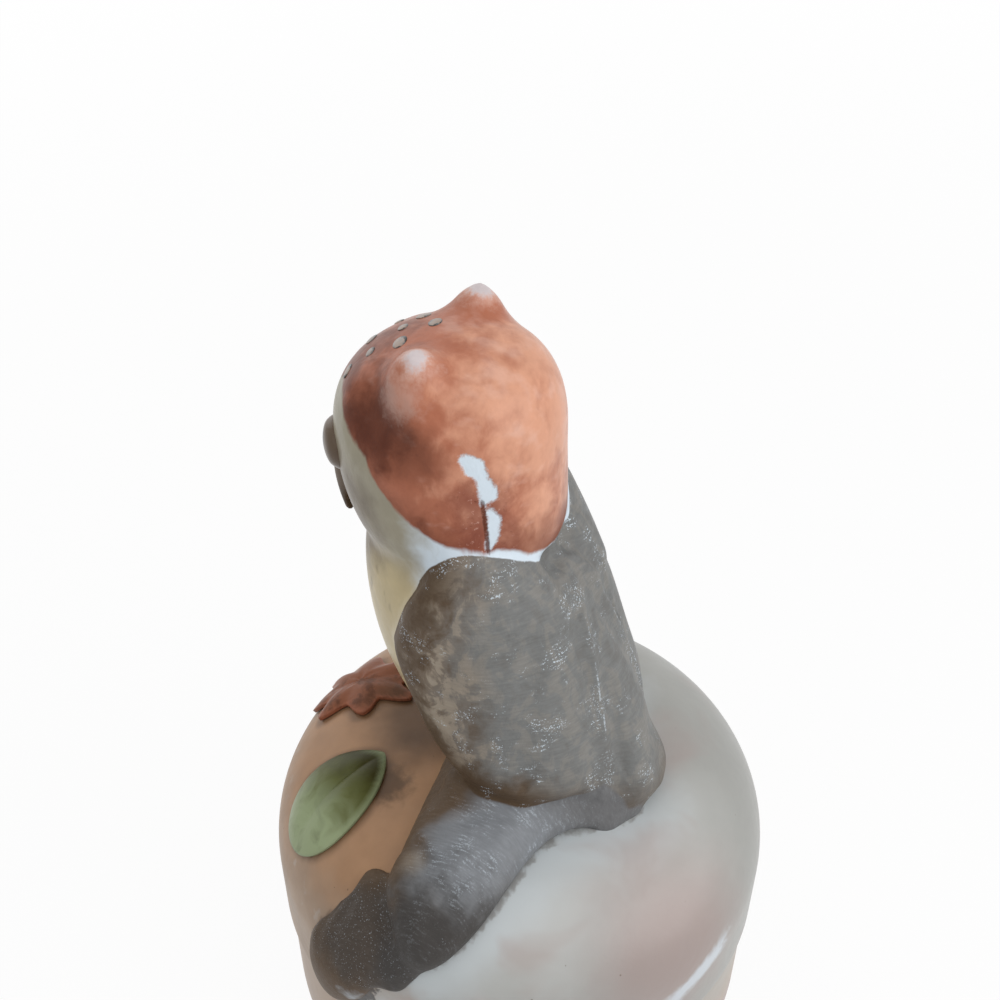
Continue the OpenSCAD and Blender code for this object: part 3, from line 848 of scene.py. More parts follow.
def head_paint(r, g, cloud, blotch, fine, crack):
    """Rust of the head: dark cheeks and paler crown and nape, partly painted light and shade;
    painted shade in the hollows, painted highlights on the ears, stains round the crack.
    """
    # Partly the paint and partly painted light: the rust grows paler towards the back and the crown
    light = (r.y + 7.5) * 0.045 + (r.z - 100) * 0.017 + cloud.sway(0.9) + blotch.sway(0.7)
    rust = r.mix(g.rust_dark, g.rust, light.step(-0.42, 0.06))
    rust = r.mix(rust, g.peach, light.step(0.12, 0.62))
    # Partly the paint and partly painted shade: darker low on the front of the head
    low = (r.z + r.y * 0.35 + blotch.sway(5)).step(97, 90)
    rust = r.mix(rust, g.rust_dark, low * 0.75)
    # Pinkish white streaks: mottling of the glaze with painted sheen, more towards the top and the
    # back
    streak = r.noise(2.6, 3, 0.5, stretch=(1, 0.7, 1.3), turn=(25, 0, 20))
    streak = streak + (r.z - 104) * 0.012 + (r.y + 6) * 0.008
    rust = r.mix(rust, g.blush, streak.step(0.56, 0.8) * 0.35)
    # Painted shade in the hollow behind each brow and at the temples
    hollow = r.near(BROW_HOLLOW, True) + blotch.sway(4)
    rust = r.mix(rust, g.rust_deep, hollow.step(7, 1.6) * 0.85)
    hollow = r.near(TEMPLE, True) + blotch.sway(3)
    rust = r.mix(rust, g.rust_deep, hollow.step(5, 1) * 0.5)
    # Painted highlight on the front of each ear
    shine = r.near(EAR_FRONT, True) + blotch.sway(6) + fine.sway(1.5)
    rust = r.mix(rust, g.blush, shine.step(3.4, 0.6) * 0.5)
    rust = r.mix(rust, g.stain, (crack + blotch.sway(6)).step(5.2, 0.6) * 0.6)
    grain = r.noise(0.55, 4, 0.65)
    beside = crack + blotch.sway(4)
    rust = r.mix(rust, g.rust_deep, grain.step(0.6, 0.7) * beside.step(4.4, 0.8) * 0.5)
    rust = r.mix(rust, g.blush, grain.step(0.4, 0.33) * beside.step(4, 0.8) * 0.4)
    # Painted highlight on each ear tip, with glaze worn off at the very tip
    tip = r.near(EAR_TIP, True)
    rust = r.mix(rust, g.blush, (tip + blotch.sway(6) + fine.sway(1.5)).step(3.4, 0.9) * 0.7)
    rust = r.mix(rust, g.bare_and_highlight, (tip + fine.sway(2) + blotch.sway(3)).step(2.2, 0.6) * 0.55)
    return r.tone(rust, 0.96 + fine.sway(0.08) + blotch.sway(0.25))


def breast_paint(r, g, cloud, blotch):
    """Greyish white of the face running into the cream of the breast, painted shade under the beak,
    bluish white at the nape.
    """
    pale = r.mix(g.breast, g.face, (r.z + cloud.sway(6)).step(83, 91))
    # Painted shade under and beside the beak
    brown = (r.near(CHIN, True) + blotch.sway(3)).step(13, 5) * 0.85
    brown = brown.above((r.near(CHEEK, True) + blotch.sway(4)).step(9, 2.5) * 0.75)
    pale = r.mix(pale, g.umber, brown)
    fleck = r.noise(1.5, 2, 0.5, stretch=(1, 1, 0.4)).step(0.58, 0.7)
    fleck = fleck * r.z.step(87, 84) * (r.y * -1).step(9, 14)
    pale = r.mix(pale, g.umber, fleck * 0.35)
    pale = r.tone(pale, 0.86 + blotch * 0.28)
    return r.mix(pale, g.bare_and_highlight, (r.y + 6.5 + blotch.sway(5)).step(-3, 2) * r.z.step(84, 87))


def wing_paint(r, g, cloud, blotch, fine, ridge):
    """Grey of wings, back and tail: warm fronts, brown edges with painted shade, painted shade low
    down and in creases, brush marks and rubbed high spots.
    """
    front = (0 - r.y - (r.z - 70) * 0.1 + cloud.sway(9)).step(-4, 5)
    stroke = r.noise(2.1, 4, 0.62, stretch=(1, 0.55, 0.45), turn=(35, 0, 0), twist=1.2)
    brush = r.noise(0.42, 3, 0.6, stretch=(0.25, 0.25, 1.5), turn=(4, 6, 0))
    grey = r.mix(g.wing, g.wing_warm, front * 0.85)
    pale = (stroke + blotch.sway(0.6)).step(0.48, 0.6)
    grey = r.mix(grey, g.wing_pale, pale * (front * 0.85 + 0.15))
    brown = (stroke * 0.5 + blotch * 0.5).step(0.49, 0.37)
    grey = r.mix(grey, g.umber, brown * (front * 0.8 + 0.15))
    # Painted shade: darker low on the wings
    low = r.z + r.y * 0.3 + cloud.sway(6) + stroke.sway(5)
    grey = r.mix(grey, g.umber, low.step(65, 58) * 0.5)
    # Brown band along each wing's front and lower edges: partly paint, partly painted shade at the
    # crease
    rim = r.field("rim_gap") + blotch.sway(4) + stroke.sway(3)
    edge = rim.step(6, 1.4) * (0 - r.y + (r.z - 72) * -0.4).step(-9, -1)
    grey = r.mix(grey, g.umber, edge * 0.95)
    grey = r.tone(grey, 1 - edge * 0.1)
    # Painted shade in the creases
    grey = r.mix(grey, g.bark_dark, (ridge * -1).step(0.25, 1.2) * 0.6)
    grey = r.tone(grey, 0.97 + brush.sway(0.5) * (1 - front * 0.6) + blotch.sway(0.2))
    chip = r.noise(0.2, 2, 0.6)
    cluster = r.noise(3.4, 3, 0.6).step(0.54, 0.64)
    specks = (chip * 0.7 + brush * 0.4).step(0.61, 0.67) * cluster
    seam = r.field("seam") + fine.sway(0.5)
    broken = (chip * 0.5 + blotch * 0.7).step(0.58, 0.68) * r.z.step(82, 76)
    rubbed = seam.step(0.16, 0.02) * broken * 0.7
    flakes = seam.step(1.5, 0.2) * chip.step(0.57, 0.64) * cloud.step(0.46, 0.56)
    rubbed = rubbed.above(flakes * 0.8)
    return r.mix(grey, g.bare_and_highlight, rubbed.above(specks) * 0.8)


def bark_paint(r, g, cloud, blotch, fine, ridge):
    """Grey of the log: painted bluish sheen on its top, dark ends, painted shade in the hollows,
    umber front, a painted highlight on the knob, white specks.
    """
    stroke = r.noise(0.34, 4, 0.6, stretch=(1.4, 0.22, 0.3), turn=(0, 0, 10))
    dark = (r.x - 21) * 0.05 + (53 - r.z) * 0.04 + cloud.sway(1.2) + (blotch - 0.5)
    colour = r.mix(g.bark, g.bark_dark, dark.step(-0.2, 0.4))
    # Painted sheen: bluish light on the top of the log
    top = (r.z + r.y * 0.3 + cloud.sway(7)).step(51.5, 56.5) * (r.x + cloud.sway(6)).step(9, 15)
    colour = r.mix(colour, g.bark_sheen, top * (1 - dark.step(0, 0.5) * 0.7) * 0.75)
    front = ((21 - r.x).above(0) * 0.7 - r.y - (r.x - 16) * 0.1 + cloud.sway(7)).step(0, 4.5)
    end = (r.near(LOG_END) + cloud.sway(6)).step(9, 4)
    colour = r.mix(colour, g.umber, front * (1 - end * 0.7) * 0.95)
    # Painted highlight on the knob
    colour = r.mix(colour, g.wing_pale, r.near(LOG_KNOB).step(2.8, 0.6) * 0.5)
    # Painted shade in the hollows
    colour = r.mix(colour, g.bark_dark, (ridge * -1).step(0.1, 1.0) * 0.75)
    colour = r.tone(colour, 0.98 + stroke.sway(0.5))
    chip = r.noise(0.19, 2, 0.6)
    worn = (stroke * 0.7 + chip * 0.45).step(0.6, 0.72)
    worn = worn * (blotch * 0.5 + cloud * 0.5).step(0.44, 0.58)
    specks = chip.step(0.64, 0.7) * (blotch * 0.6 + end * 0.2).step(0.3, 0.5)
    worn = (1 - front * 0.8) * worn * (top * 0.3 + 0.08)
    colour = r.mix(colour, g.bare_and_highlight, worn.above(specks * 0.45))
    return r.mix(colour, g.bare_and_highlight, (r.near(STUB_TIP) + blotch.sway(3)).step(2.4, 1.0) * 0.85)


def figure_glaze(g):
    """Paint of the owl and its log, laid on by the levels kept on the mesh."""
    r = Recipe("figure_glaze", gloss=0.1, coat_rough=0.2)
    cloud = r.noise(6, 3, twist=0.5)
    blotch = r.noise(2.6, 4, 0.55, stretch=(1, 1, 0.8), twist=0.25)
    fine = r.noise(0.38, 3, 0.6)
    rust_in, wing_in, bark_in, bare_in, crack, ridge = (
        r.field(n) for n in ("rust_in", "wing_in", "bark_in", "bare_in", "crack", "ridge"))
    rust = head_paint(r, g, cloud, blotch, fine, crack)
    pale = breast_paint(r, g, cloud, blotch)
    colour = r.mix(pale, rust, (rust_in + blotch.sway(1.8)).step(-0.4, 0.4))
    bare_and_highlight = (bare_in + fine.sway(0.7) + blotch.sway(1.1)).step(-0.3, 0.22)
    colour = r.mix(colour, g.bare_and_highlight, bare_and_highlight)
    slit = (crack + fine.sway(0.35)).step(0.34, 0.1)
    colour = r.mix(colour, g.rust_deep, slit * 0.9)
    winged = (wing_in + blotch.sway(0.7)).step(-0.15, 0.15)
    colour = r.mix(colour, wing_paint(r, g, cloud, blotch, fine, ridge), winged)
    barked = (bark_in + blotch.sway(1.2)).step(-0.4, 0.4)
    colour = r.mix(colour, bark_paint(r, g, cloud, blotch, fine, ridge), barked)
    dull = winged.above(barked)
    rough = 0.31 + dull * 0.19 + fine.sway(0.12) + bare_and_highlight * 0.15
    relief = blotch * 0.9 + dull * fine * 0.35 - bare_and_highlight * 0.6 - slit * 0.8
    return r.finish(colour, rough, relief, 0.16, 0.14 - dull * 0.12)


def eye_glaze(g):
    """Olive brown of the eyes, with a dark pupil and a painted highlight as a glint."""
    r = Recipe("eye_glaze", gloss=0.25, coat=0.2, coat_rough=0.08)
    cloud = r.noise(1.4, 4)
    colour = r.mix(g.eye, g.umber, cloud.step(0.42, 0.66))
    ring = r.near(PUPIL, True)
    colour = r.mix(colour, g.eye_dark, ring.step(1.9, 1.5))
    # Painted highlight
    colour = r.mix(colour, g.bare_and_highlight, r.near(GLINT, True).step(0.5, 0.35))
    return r.finish(colour, 0.26 + cloud * 0.1, cloud, 0.03)


def horn_glaze(g):
    """Olive brown of beak and toes, darker at their tips."""
    r = Recipe("horn_glaze", gloss=0.12, coat=0.06, coat_rough=0.2)
    cloud = r.noise(1.6, 4)
    colour = r.mix(g.eye, g.umber, cloud.step(0.4, 0.65))
    colour = r.mix(colour, g.eye_dark, r.near(BEAK_TIP).step(4, 1) * 0.5)
    claw = (r.z * -1).step(-54.6, -53) * r.z.step(60, 58)
    colour = r.mix(colour, g.eye_dark, claw * 0.7)
    return r.finish(colour, 0.36 + cloud * 0.12, cloud, 0.02)


def leaf_glaze(g):
    """Green of the leaf, from its dark root to its pale tip, with a painted highlight along its
    rim.
    """
    r = Recipe("green_leaf_glaze", gloss=0.12, coat=0.06, coat_rough=0.2)
    cloud = r.noise(3.2, 4, twist=0.6)
    fine = r.noise(0.6, 3)
    along = r.x * 0.9 + r.y * -0.42 + cloud.sway(6)
    colour = r.mix(g.leaf_dark, g.leaf, along.step(17, 23))
    colour = r.mix(colour, g.leaf_pale, along.step(21.5, 27.5))
    colour = r.mix(colour, g.leaf_dark, cloud.step(0.52, 0.74) * 0.3)
    # Painted highlight along the rim
    colour = r.mix(colour, g.leaf_pale, r.field("rim") * (r.y + 18.5).step(-1, 3) * 0.7)
    return r.finish(colour, 0.34 + cloud.sway(0.15), cloud + fine * 0.2, 0.12)


def fall_glaze(g):
    """Rust of the autumn leaf, browner in its veins, with painted shade under the owl."""
    r = Recipe("autumn_leaf_glaze", gloss=0.12, coat=0.06, coat_rough=0.2)
    cloud = r.noise(3, 4, twist=0.6)
    fine = r.noise(0.6, 3)
    colour = r.mix(g.fall, g.fall_dark, (cloud + fine.sway(0.3)).step(0.46, 0.68) * 0.85)
    # Painted shade under the owl
    colour = r.mix(colour, g.ground_shade, (r.near(FALL_SHADE) + cloud.sway(6)).step(8, 2) * 0.7)
    colour = r.mix(colour, g.rust, r.field("rim") * 0.5)
    return r.finish(colour, 0.36 + cloud.sway(0.15), cloud + fine * 0.2, 0.12)


def dot_glaze(g):
    """Greyish tan of the dots on the crown, with a dark rim."""
    r = Recipe("dot_glaze", coat=0.3, coat_rough=0.12)
    cloud = r.noise(1.3, 3, 0.6)
    rim = r.field("rim") + cloud.sway(2.2)
    colour = r.mix(g.dot, g.eye_dark, rim.step(0.8, 1.0))
    colour = r.mix(colour, g.wing, r.noise(0.7, 2).step(0.42, 0.6) * 0.5)
    return r.finish(colour, 0.3 + cloud * 0.1, cloud, 0.04)


class OWLBOX_OT_base(bpy.types.Operator):
    """Turn the base and glaze it"""

    bl_idname = "owlbox.base"
    bl_label = "Base"

    def execute(self, context):
        s = settings()
        obj = turned("glazed_base", base_section(s.box), s.box.steps, base_glaze(s.glazes))
        rest_on(obj, "base", "base_glaze", "base_bowl")
        return {"FINISHED"}


class OWLBOX_OT_lid(bpy.types.Operator):
    """Turn the domed lid and glaze it"""

    bl_idname = "owlbox.lid"
    bl_label = "Lid"

    # Where grey ran down beside the stub, in millimetres: heights, sides and reach
    RUN_HIGH = (41, 37)
    RUN_SIDE = (24, 27)
    RUN_REACH = 0.9
    NO_RUN = -1.6

    def execute(self, context):
        s = settings()
        obj = turned("pearl_lid", lid_section(s.box), s.box.steps, pearl_glaze(s.glazes))
        mesh = obj.data
        at, face = places(mesh), facings(mesh)
        outwards = (at[:, :2] * face[:, :2]).sum(1) + face[:, 2] * 0.02
        log = gap_to(at, "log", "branch_stub")
        stub = gap_to(at, "branch_stub")
        low = eased(at[:, 2] / MM, *self.RUN_HIGH) * eased(at[:, 0] / MM, *self.RUN_SIDE)
        run = (self.RUN_REACH - np.minimum(stub, log + 0.4)) * low + self.NO_RUN * (1 - low)
        keep(mesh, "inside", outwards < -SAME)
        keep(mesh, "log_gap", log)
        keep(mesh, "run_in", run)
        keep(mesh, "leaf_gap", gap_to(at, "green_leaf", "autumn_leaf"))
        rest_on(obj, "lid", "lid_pearl", "lid_dome")
        return {"FINISHED"}


class OWLBOX_OT_owl(bpy.types.Operator):
    """Model the owl and its log as one glazed figure"""

    bl_idname = "owlbox.owl"
    bl_label = "Owl on its log"

    OWL = (
        "owl_body", "owl_head", "left_ear_tuft", "right_ear_tuft", "left_wing", "right_wing",
        "tail")
    LOG = ("log", "branch_stub")

    # All lengths are millimetres. Lower edge of the rust: degrees round the head from the beak
    # and height
    EDGE = (
        (0, 102.6), (14, 104.4), (30, 105.6), (42, 105.2), (49, 103.6), (62, 102.2), (74, 100.8),
        (82, 98.8), (90, 96.7), (99, 95), (107, 93.5), (115, 92.5), (127, 92), (141, 91.4),
        (157, 89.2), (180, 86.8))
    # Two patches worn through the glaze and the crack between them: places with a half width
    WORN = (
        (((10.3, -2.0, 103.7), 0.55), ((9.9, -1.1, 102.7), 0.95), ((9.6, -0.4, 101.2), 0.6),
         ((9.2, 0.1, 99), 0.95), ((9.6, -0.3, 98.2), 0.45)),
        (((9.2, 0.2, 97), 0.4), ((8.8, 0.6, 95.6), 0.75), ((9.0, 0.5, 93.6), 0.6),
         ((9.3, 0.2, 92.1), 0.25)))
    CRACK = (
        ((9.8, -0.4, 98.4), 0), ((9.6, -0.2, 96), 0), ((9.5, 0, 93.2), 0), ((9.4, 0.1, 90.6), 0))
    # Rear edge of each wing; width of its ridge; place, width and share of the groove beside it,
    # which stays on the back
    SEAM = (
        (1.6, 6.2, 85), (2.1, 7.5, 81), (3.2, 9.8, 75), (4.6, 11.9, 68.8), (5.9, 13.2, 62),
        (6.9, 13.8, 55.8))
    SEAM_WIDE = 0.7
    GROOVE_AT, GROOVE_WIDE, GROOVE_SHARE = 1.9, 1.1, 0.8
    BACK_HALF = 5.5
    # Clay under each wing: middle and half sizes
    UNDER = (
        ((13.0, -2, 62), (1.5, 5, 2.4)), ((12.6, -4.6, 64), (1.2, 3, 2.2)),
        ((13.0, 2, 61), (1.5, 4, 2.2)))
    # Clay pressed on a node at spots of its plan: across, along, half width, half thickness
    PADS = {
        "lid_dome": (
            (26, -7.6, 3, 1.8), (28.4, -6.4, 3, 2.4), (29.6, -8, 3, 2.2), (28.6, -9.6, 3, 1.8),
            (30.5, -6, 4.5, 2.2), (31, -1.5, 3.5, 1.8), (33.6, -2.5, 3.2, 1.6),
            (6.6, 14.6, 2.6, 2.4), (3.4, 16.4, 2.6, 2.4)),
        "log": (
            (6.0, 12.6, 3, 2.6), (6.4, 13.8, 2.4, 1.8), (13.2, -1.8, 2.6, 2.4),
            (13.2, 1.6, 2.6, 2.2))}
    # Deep slip behind the owl: where it starts and is full, along the box, from above and below
    BEHIND = (2, 8)
    BEHIND_TOP = (86, 80)
    BEHIND_FOOT = (56, 61)
    # Front corners of each wing, and the reach of their slip
    CORNERS = ((12.6, -8.5, 88.5), (12.6, -7, 60.5))
    CORNER_REACH = 3.2
    # Softened joints: width where two nodes meet and round the ears; start and full strength on the
    # back, along the box and down, and at the stub, across the box and away from the nodes
    JOINT_WIDE = 0.9
    EAR_WIDE = 1.3
    BACK_FROM, BACK_DOWN = (6, 9), (84, 78)
    STUB_FROM, STUB_OFF = (23, 26), (0.1, 0.5)
    # Hollow behind each brow, and the lesser shapes beside it: middle, reach and height
    HOLLOW = ((10.9, -12.2, 105), 6)
    BROWS = (((11.6, -7.4, 103), 4.5, -0.45), ((7.2, -16.6, 107), 4.5, 0.35))
    # Knob where the log bends over the shoulder
    KNOB = ((26.5, -3.5, 51), 5, 0.9)
    # Where the grey reaches past the wings: on the back, in degrees from the front and in
    # height, and under the wings, across the box and in height
    BACK_TURN, BACK_TOP = 112, 87.2
    UNDER_SIDE, UNDER_TOP = 11.4, 66
    # Upright axes of head and body, as places along the box, and the body's usual radius
    HEAD_AXIS = -9.5
    BODY_AXIS = -2.5
    BODY_RADIUS = 13

    def execute(self, context):
        s = settings()
        f = s.figure
        nodes = self.OWL + self.LOG
        clay = Clay("owl_on_log", nodes, lambda p: self.slip(f, p), f.grain, self.pads())
        clay.soften(f.soft)
        gaps = {n: gap_to(clay.at, n) for n in nodes}
        on_owl = np.min([gaps[n] for n in self.OWL], axis=0)
        self.blend(f, clay, gaps)
        self.shape(f, clay, on_owl)
        seam = self.seam(f, clay)
        self.marks(clay, gaps, on_owl)
        keep(clay.mesh, "seam", seam)
        keep(clay.mesh, "ridge", clay.ridge())
        rest_on(clay.done(figure_glaze(s.glazes)), "lid", "wing_grey", *self.OWL, *self.LOG)
        return {"FINISHED"}

    def slip(self, f, p):
        """Depth of slip at places: thin all over, deep behind the owl and at the wings' corners."""
        behind = eased(p[:, 1], *self.BEHIND) * eased(p[:, 2], *self.BEHIND_TOP)
        behind = behind * eased(p[:, 2], *self.BEHIND_FOOT)
        depth = f.slip + (f.back - f.slip) * behind
        side = np.column_stack((abs(p[:, 0]), p[:, 1:]))
        for spot in self.CORNERS:
            depth += f.corner * np.exp(-((side - spot) ** 2).sum(1) / self.CORNER_REACH ** 2)
        return depth

    def pads(self):
        """Places of the pads and balls of clay that fill out the figure."""
        made = [pad_on(node, *spot) for node, spots in self.PADS.items() for spot in spots]
        for side in (-1, 1):
            for (x, y, z), size in self.UNDER:
                middle = Vector((side * x, y, z)) * MM
                made.append(Matrix.LocRotScale(middle, None, Vector(size) * MM))
        return made

    def blend(self, f, clay, gaps):
        """Softens the joints where nodes meet, behind the owl, at the stub and round the ears."""
        near = np.sort(np.array(list(gaps.values())), axis=0)
        clay.soften(f.fillet, bell(near[1], self.JOINT_WIDE))
        p = clay.millimetres()
        back = eased(p[:, 1], *self.BACK_FROM) * eased(p[:, 2], *self.BACK_DOWN)
        clay.soften(2 * f.fillet, back)
        stub = eased(p[:, 0], *self.STUB_FROM) * eased(near[0], *self.STUB_OFF)
        clay.soften(2 * f.fillet, stub)
        ears = np.minimum(gaps["left_ear_tuft"], gaps["right_ear_tuft"])
        clay.soften(f.brow, bell(np.maximum(ears, gaps["owl_head"]), self.EAR_WIDE))

    def shape(self, f, clay, on_owl):
        """Presses the brows and raises the lumps and the knob of the log."""
        clay.push(clay.swell(*self.HOLLOW, -f.hollow / MM, True))
        for brow in self.BROWS:
            clay.push(clay.swell(*brow, True))
        lumps = (clay.rolling(4.5, 5) + 0.4 * clay.rolling(2, 8)) * eased(on_owl, 0.5, 3)
        clay.push(f.lumps * lumps * eased(clay.normals()[:, 2], 0.1, 0.6))
        clay.push(clay.swell(*self.KNOB))

    def seam(self, f, clay):
        """Raises a ridge on each wing's rear edge, beside a groove; gives the distance from it."""
        sides = clay.folded()
        seam = from_path(sides, clay.on_surface(self.SEAM, 24))
        groove = self.GROOVE_SHARE * bell(seam - self.GROOVE_AT, self.GROOVE_WIDE)
        clay.push(f.seam * (bell(seam, self.SEAM_WIDE) - groove * (sides[:, 0] < self.BACK_HALF)))
        return seam

    def round_axis(self, p, axis):
        """Angles of places round an upright axis, from the front to the back, in radians."""
        return np.arctan2(abs(p[:, 0]), -(p[:, 1] - axis))

    def marks(self, clay, gaps, on_owl):
        """Keeps the levels that say where each paint goes."""
        p = clay.millimetres()
        turn = np.degrees(self.round_axis(p, self.HEAD_AXIS))
        keep(clay.mesh, "rust_in", p[:, 2] - np.interp(turn, *zip(*self.EDGE)))
        wing = np.min([gaps[n] for n in ("left_wing", "right_wing", "tail")], axis=0)
        other = np.minimum(gaps["owl_body"], gaps["owl_head"])
        body_turn = self.round_axis(p, self.BODY_AXIS)
        back = np.minimum(
            (np.degrees(body_turn) - self.BACK_TURN) * 0.1, (self.BACK_TOP - p[:, 2]) * 0.6)
        under = np.minimum(
            (abs(p[:, 0]) - self.UNDER_SIDE) * 0.8, (self.UNDER_TOP - p[:, 2]) * 0.5)
        keep(clay.mesh, "wing_in", np.max([other - wing, back, under], axis=0))
        side = places(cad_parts["left_wing"].data) / MM
        side_turn = self.round_axis(side, self.BODY_AXIS)
        rim = outline(np.column_stack((side_turn * self.BODY_RADIUS, side[:, 2])))
        flat = np.column_stack((body_turn * self.BODY_RADIUS, p[:, 2]))
        keep(clay.mesh, "rim_gap", from_path(flat, [(q, 0) for q in rim]))
        keep(clay.mesh, "bark_in", on_owl - np.minimum(gaps["log"], gaps["branch_stub"]))
        keep(clay.mesh, "bare_in", -np.minimum(*(from_path(p, path) for path in self.WORN)))
        keep(clay.mesh, "crack", from_path(p, self.CRACK))


class OWLBOX_OT_face(bpy.types.Operator):
    """Set the eyes and the beak"""

    bl_idname = "owlbox.face"
    bl_label = "Eyes and beak"

    # Move of each eye towards the head, in millimetres
    EYES = (("left_eye", "eye_left", (-0.2, 0.4, 0)), ("right_eye", "eye_right", (0.2, 0.4, 0)))
    # Growth of the beak in millimetres: all over, downwards at its tip and back towards the face
    SWELL = 0.4
    DROP = 3.6
    BEND = 0.96

    def execute(self, context):
        g = settings().glazes
        glass, horn = eye_glaze(g), horn_glaze(g)
        for node, name, seat in self.EYES:
            sprig(node, name, glass, lambda at, face: at + seat)
        sprig("beak", "hooked_beak", horn, self.hook)
        return {"FINISHED"}

    def hook(self, at, face):
        """Draws the beak out into a hook that hangs before the breast."""
        low, high = at.min(0), at.max(0)
        off = (high[1] - at[:, 1]) / (high[1] - low[1])
        down = (high[2] - at[:, 2]) / (high[2] - low[2])
        made = at + face * self.SWELL
        made[:, 2] -= self.DROP * off * down ** 1.5
        made[:, 1] += self.BEND * off * down ** 2
        return made


class OWLBOX_OT_feet(bpy.types.Operator):
    """Set the toes that grip the log"""

    bl_idname = "owlbox.feet"
    bl_label = "Feet"

    # Groove between two toes: depth in millimetres, place and width as shares of half the foot
    GROOVE = 0.5
    GROOVE_AT = 0.36
    GROOVE_WIDE = 0.13
    # Growth of the outer toes and narrowing of the foot
    LENGTHEN = 0.9
    NARROW = 0.88

    def execute(self, context):
        horn = horn_glaze(settings().glazes)
        for node, name in (("left_foot", "toes_left"), ("right_foot", "toes_right")):
            sprig(node, name, horn, self.toes)
        return {"FINISHED"}

    def toes(self, at, face):
        """Three toes of one length, with a groove between each two."""
        low, high = at.min(0), at.max(0)
        middle = (low + high) / 2
        across = abs(at[:, 0] - middle[0]) / (high[0] - middle[0])
        made = at - face * self.GROOVE * bell(across - self.GROOVE_AT, self.GROOVE_WIDE)[:, None]
        made[:, 2] = middle[2] + (made[:, 2] - middle[2]) * (1 + self.LENGTHEN * across ** 2)
        made[:, 0] = middle[0] + (made[:, 0] - middle[0]) * self.NARROW
        return made


class OWLBOX_OT_leaves(bpy.types.Operator):
    """Lay the two leaves on the lid"""

    bl_idname = "owlbox.leaves"
    bl_label = "Leaves"

    # Edges sharper than this many degrees stay sharp
    SHARP = 55
    # Directions in which a leaf's reach is measured, and the share of it where the rim starts
    WAYS = 90
    RIM = 0.82

    def execute(self, context):
        g = settings().glazes
        for node, name, slot, material in (
                ("green_leaf", "leaf_green", "leaf_green", leaf_glaze(g)),
                ("autumn_leaf", "leaf_autumn", "leaf_rust", fall_glaze(g))):
            obj = rounded_copy(node, name, self.SHARP)
            obj.data.materials.append(material)
            keep(obj.data, "rim", self.rim(places(obj.data)))
            rest_on(obj, "lid", slot, node)
        return {"FINISHED"}

    def rim(self, at):
        """1 at the leaf's outline and 0 inside it."""
        flat = at - at.mean(0)
        reach = np.hypot(flat[:, 0], flat[:, 1])
        share = (np.arctan2(flat[:, 1], flat[:, 0]) + math.pi) / (2 * math.pi)
        way = np.round(share * self.WAYS).astype(int) % self.WAYS
        far = np.array([reach[way == i].max() if (way == i).any() else 1 for i in range(self.WAYS)])
        return np.clip((reach / far[way] - self.RIM) / (1 - self.RIM), 0, 1)


class OWLBOX_OT_dots(bpy.types.Operator):
    """Set the row of dots on the owl's crown"""

    bl_idname = "owlbox.dots"
    bl_label = "Crown dots"

    # Places in millimetres, moved on to the crown
    SPOTS = (
        (4.4, -18.9, 106.2), (3.4, -16.4, 108.6), (2.8, -13.2, 110.5), (-0.3, -14.5, 110.2),
        (-1.3, -11.1, 111.2), (-3.3, -16.6, 108.6), (-4.4, -18.8, 106.2), (0.2, -18.4, 108.2),
        (-3.4, -13.6, 110.2))
    # Least and greatest size of a dot, and its length and width, as shares of its radius
    LEAST, MOST = 0.75, 1.2
    LONG, WIDE = 1.15, 0.85
    SEED = 4

    def execute(self, context):
        s = settings()
        obj = new_object("crown_dots", self.spots())
        self.rule().run(
            obj, Radius=s.figure.dot, Rise=s.figure.dot_rise, Seed=self.SEED,
            Glaze=dot_glaze(s.glazes))
        rest_on(outward(obj), "lid", "face_brown")
        return {"FINISHED"}

    def spots(self):
        """Points on the crown, each with the way that it faces."""
        figure = bpy.data.objects["owl_on_log"]
        hits = [figure.closest_point_on_mesh(Vector(spot) * MM) for spot in self.SPOTS]
        mesh = bpy.data.meshes.new("crown_dots")
        mesh.from_pydata([place for _, place, _, _ in hits], [], [])
        faces = np.array([face for _, _, face, _ in hits], dtype=np.float32)
        made = mesh.attributes.new("up", "FLOAT_VECTOR", "POINT")
        made.data.foreach_set("vector", faces.ravel())
        return mesh

    def rule(self):
        """Lays a flat drop of glaze on each point."""
        rule = Rule("dots_on_crown", Radius="Float", Rise="Float", Seed="Int", Glaze="Material")
        ball = rule.node("GeometryNodeMeshUVSphere", None, {
            "Segments": 20, "Rings": 10, "Radius": 1.0})
        place = rule.node("GeometryNodeInputPosition")
        parts = rule.node("ShaderNodeSeparateXYZ", None, {0: place})
        across, along = (Level(rule, s) for s in parts.outputs[:2])
        reach = (across * across + along * along) ** 0.5
        named = rule.node(
            "GeometryNodeStoreNamedAttribute", {"data_type": "FLOAT", "domain": "POINT"},
            {"Geometry": ball.outputs[0], "Name": "rim", "Value": reach})
        up = rule.node(
            "GeometryNodeInputNamedAttribute", {"data_type": "FLOAT_VECTOR"}, {"Name": "up"})
        lay = rule.node(
            "FunctionNodeAlignRotationToVector", {"axis": "Z"}, {"Vector": up.outputs[0]})
        vary = rule.node("FunctionNodeRandomValue", {"data_type": "FLOAT"}, {
            "Min": self.LEAST, "Max": self.MOST, "Seed": rule.given["Seed"]})
        vary = next(o for o in vary.outputs if o.enabled)
        radius = Level(rule, rule.given["Radius"]) * vary
        size = rule.node("ShaderNodeCombineXYZ", None, {
            0: radius * self.LONG, 1: radius * self.WIDE, 2: rule.given["Rise"]})
        rule.close(rule.node("GeometryNodeInstanceOnPoints", None, {
            "Points": rule.given["Geometry"], "Instance": named, "Rotation": lay, "Scale": size}))
        return rule


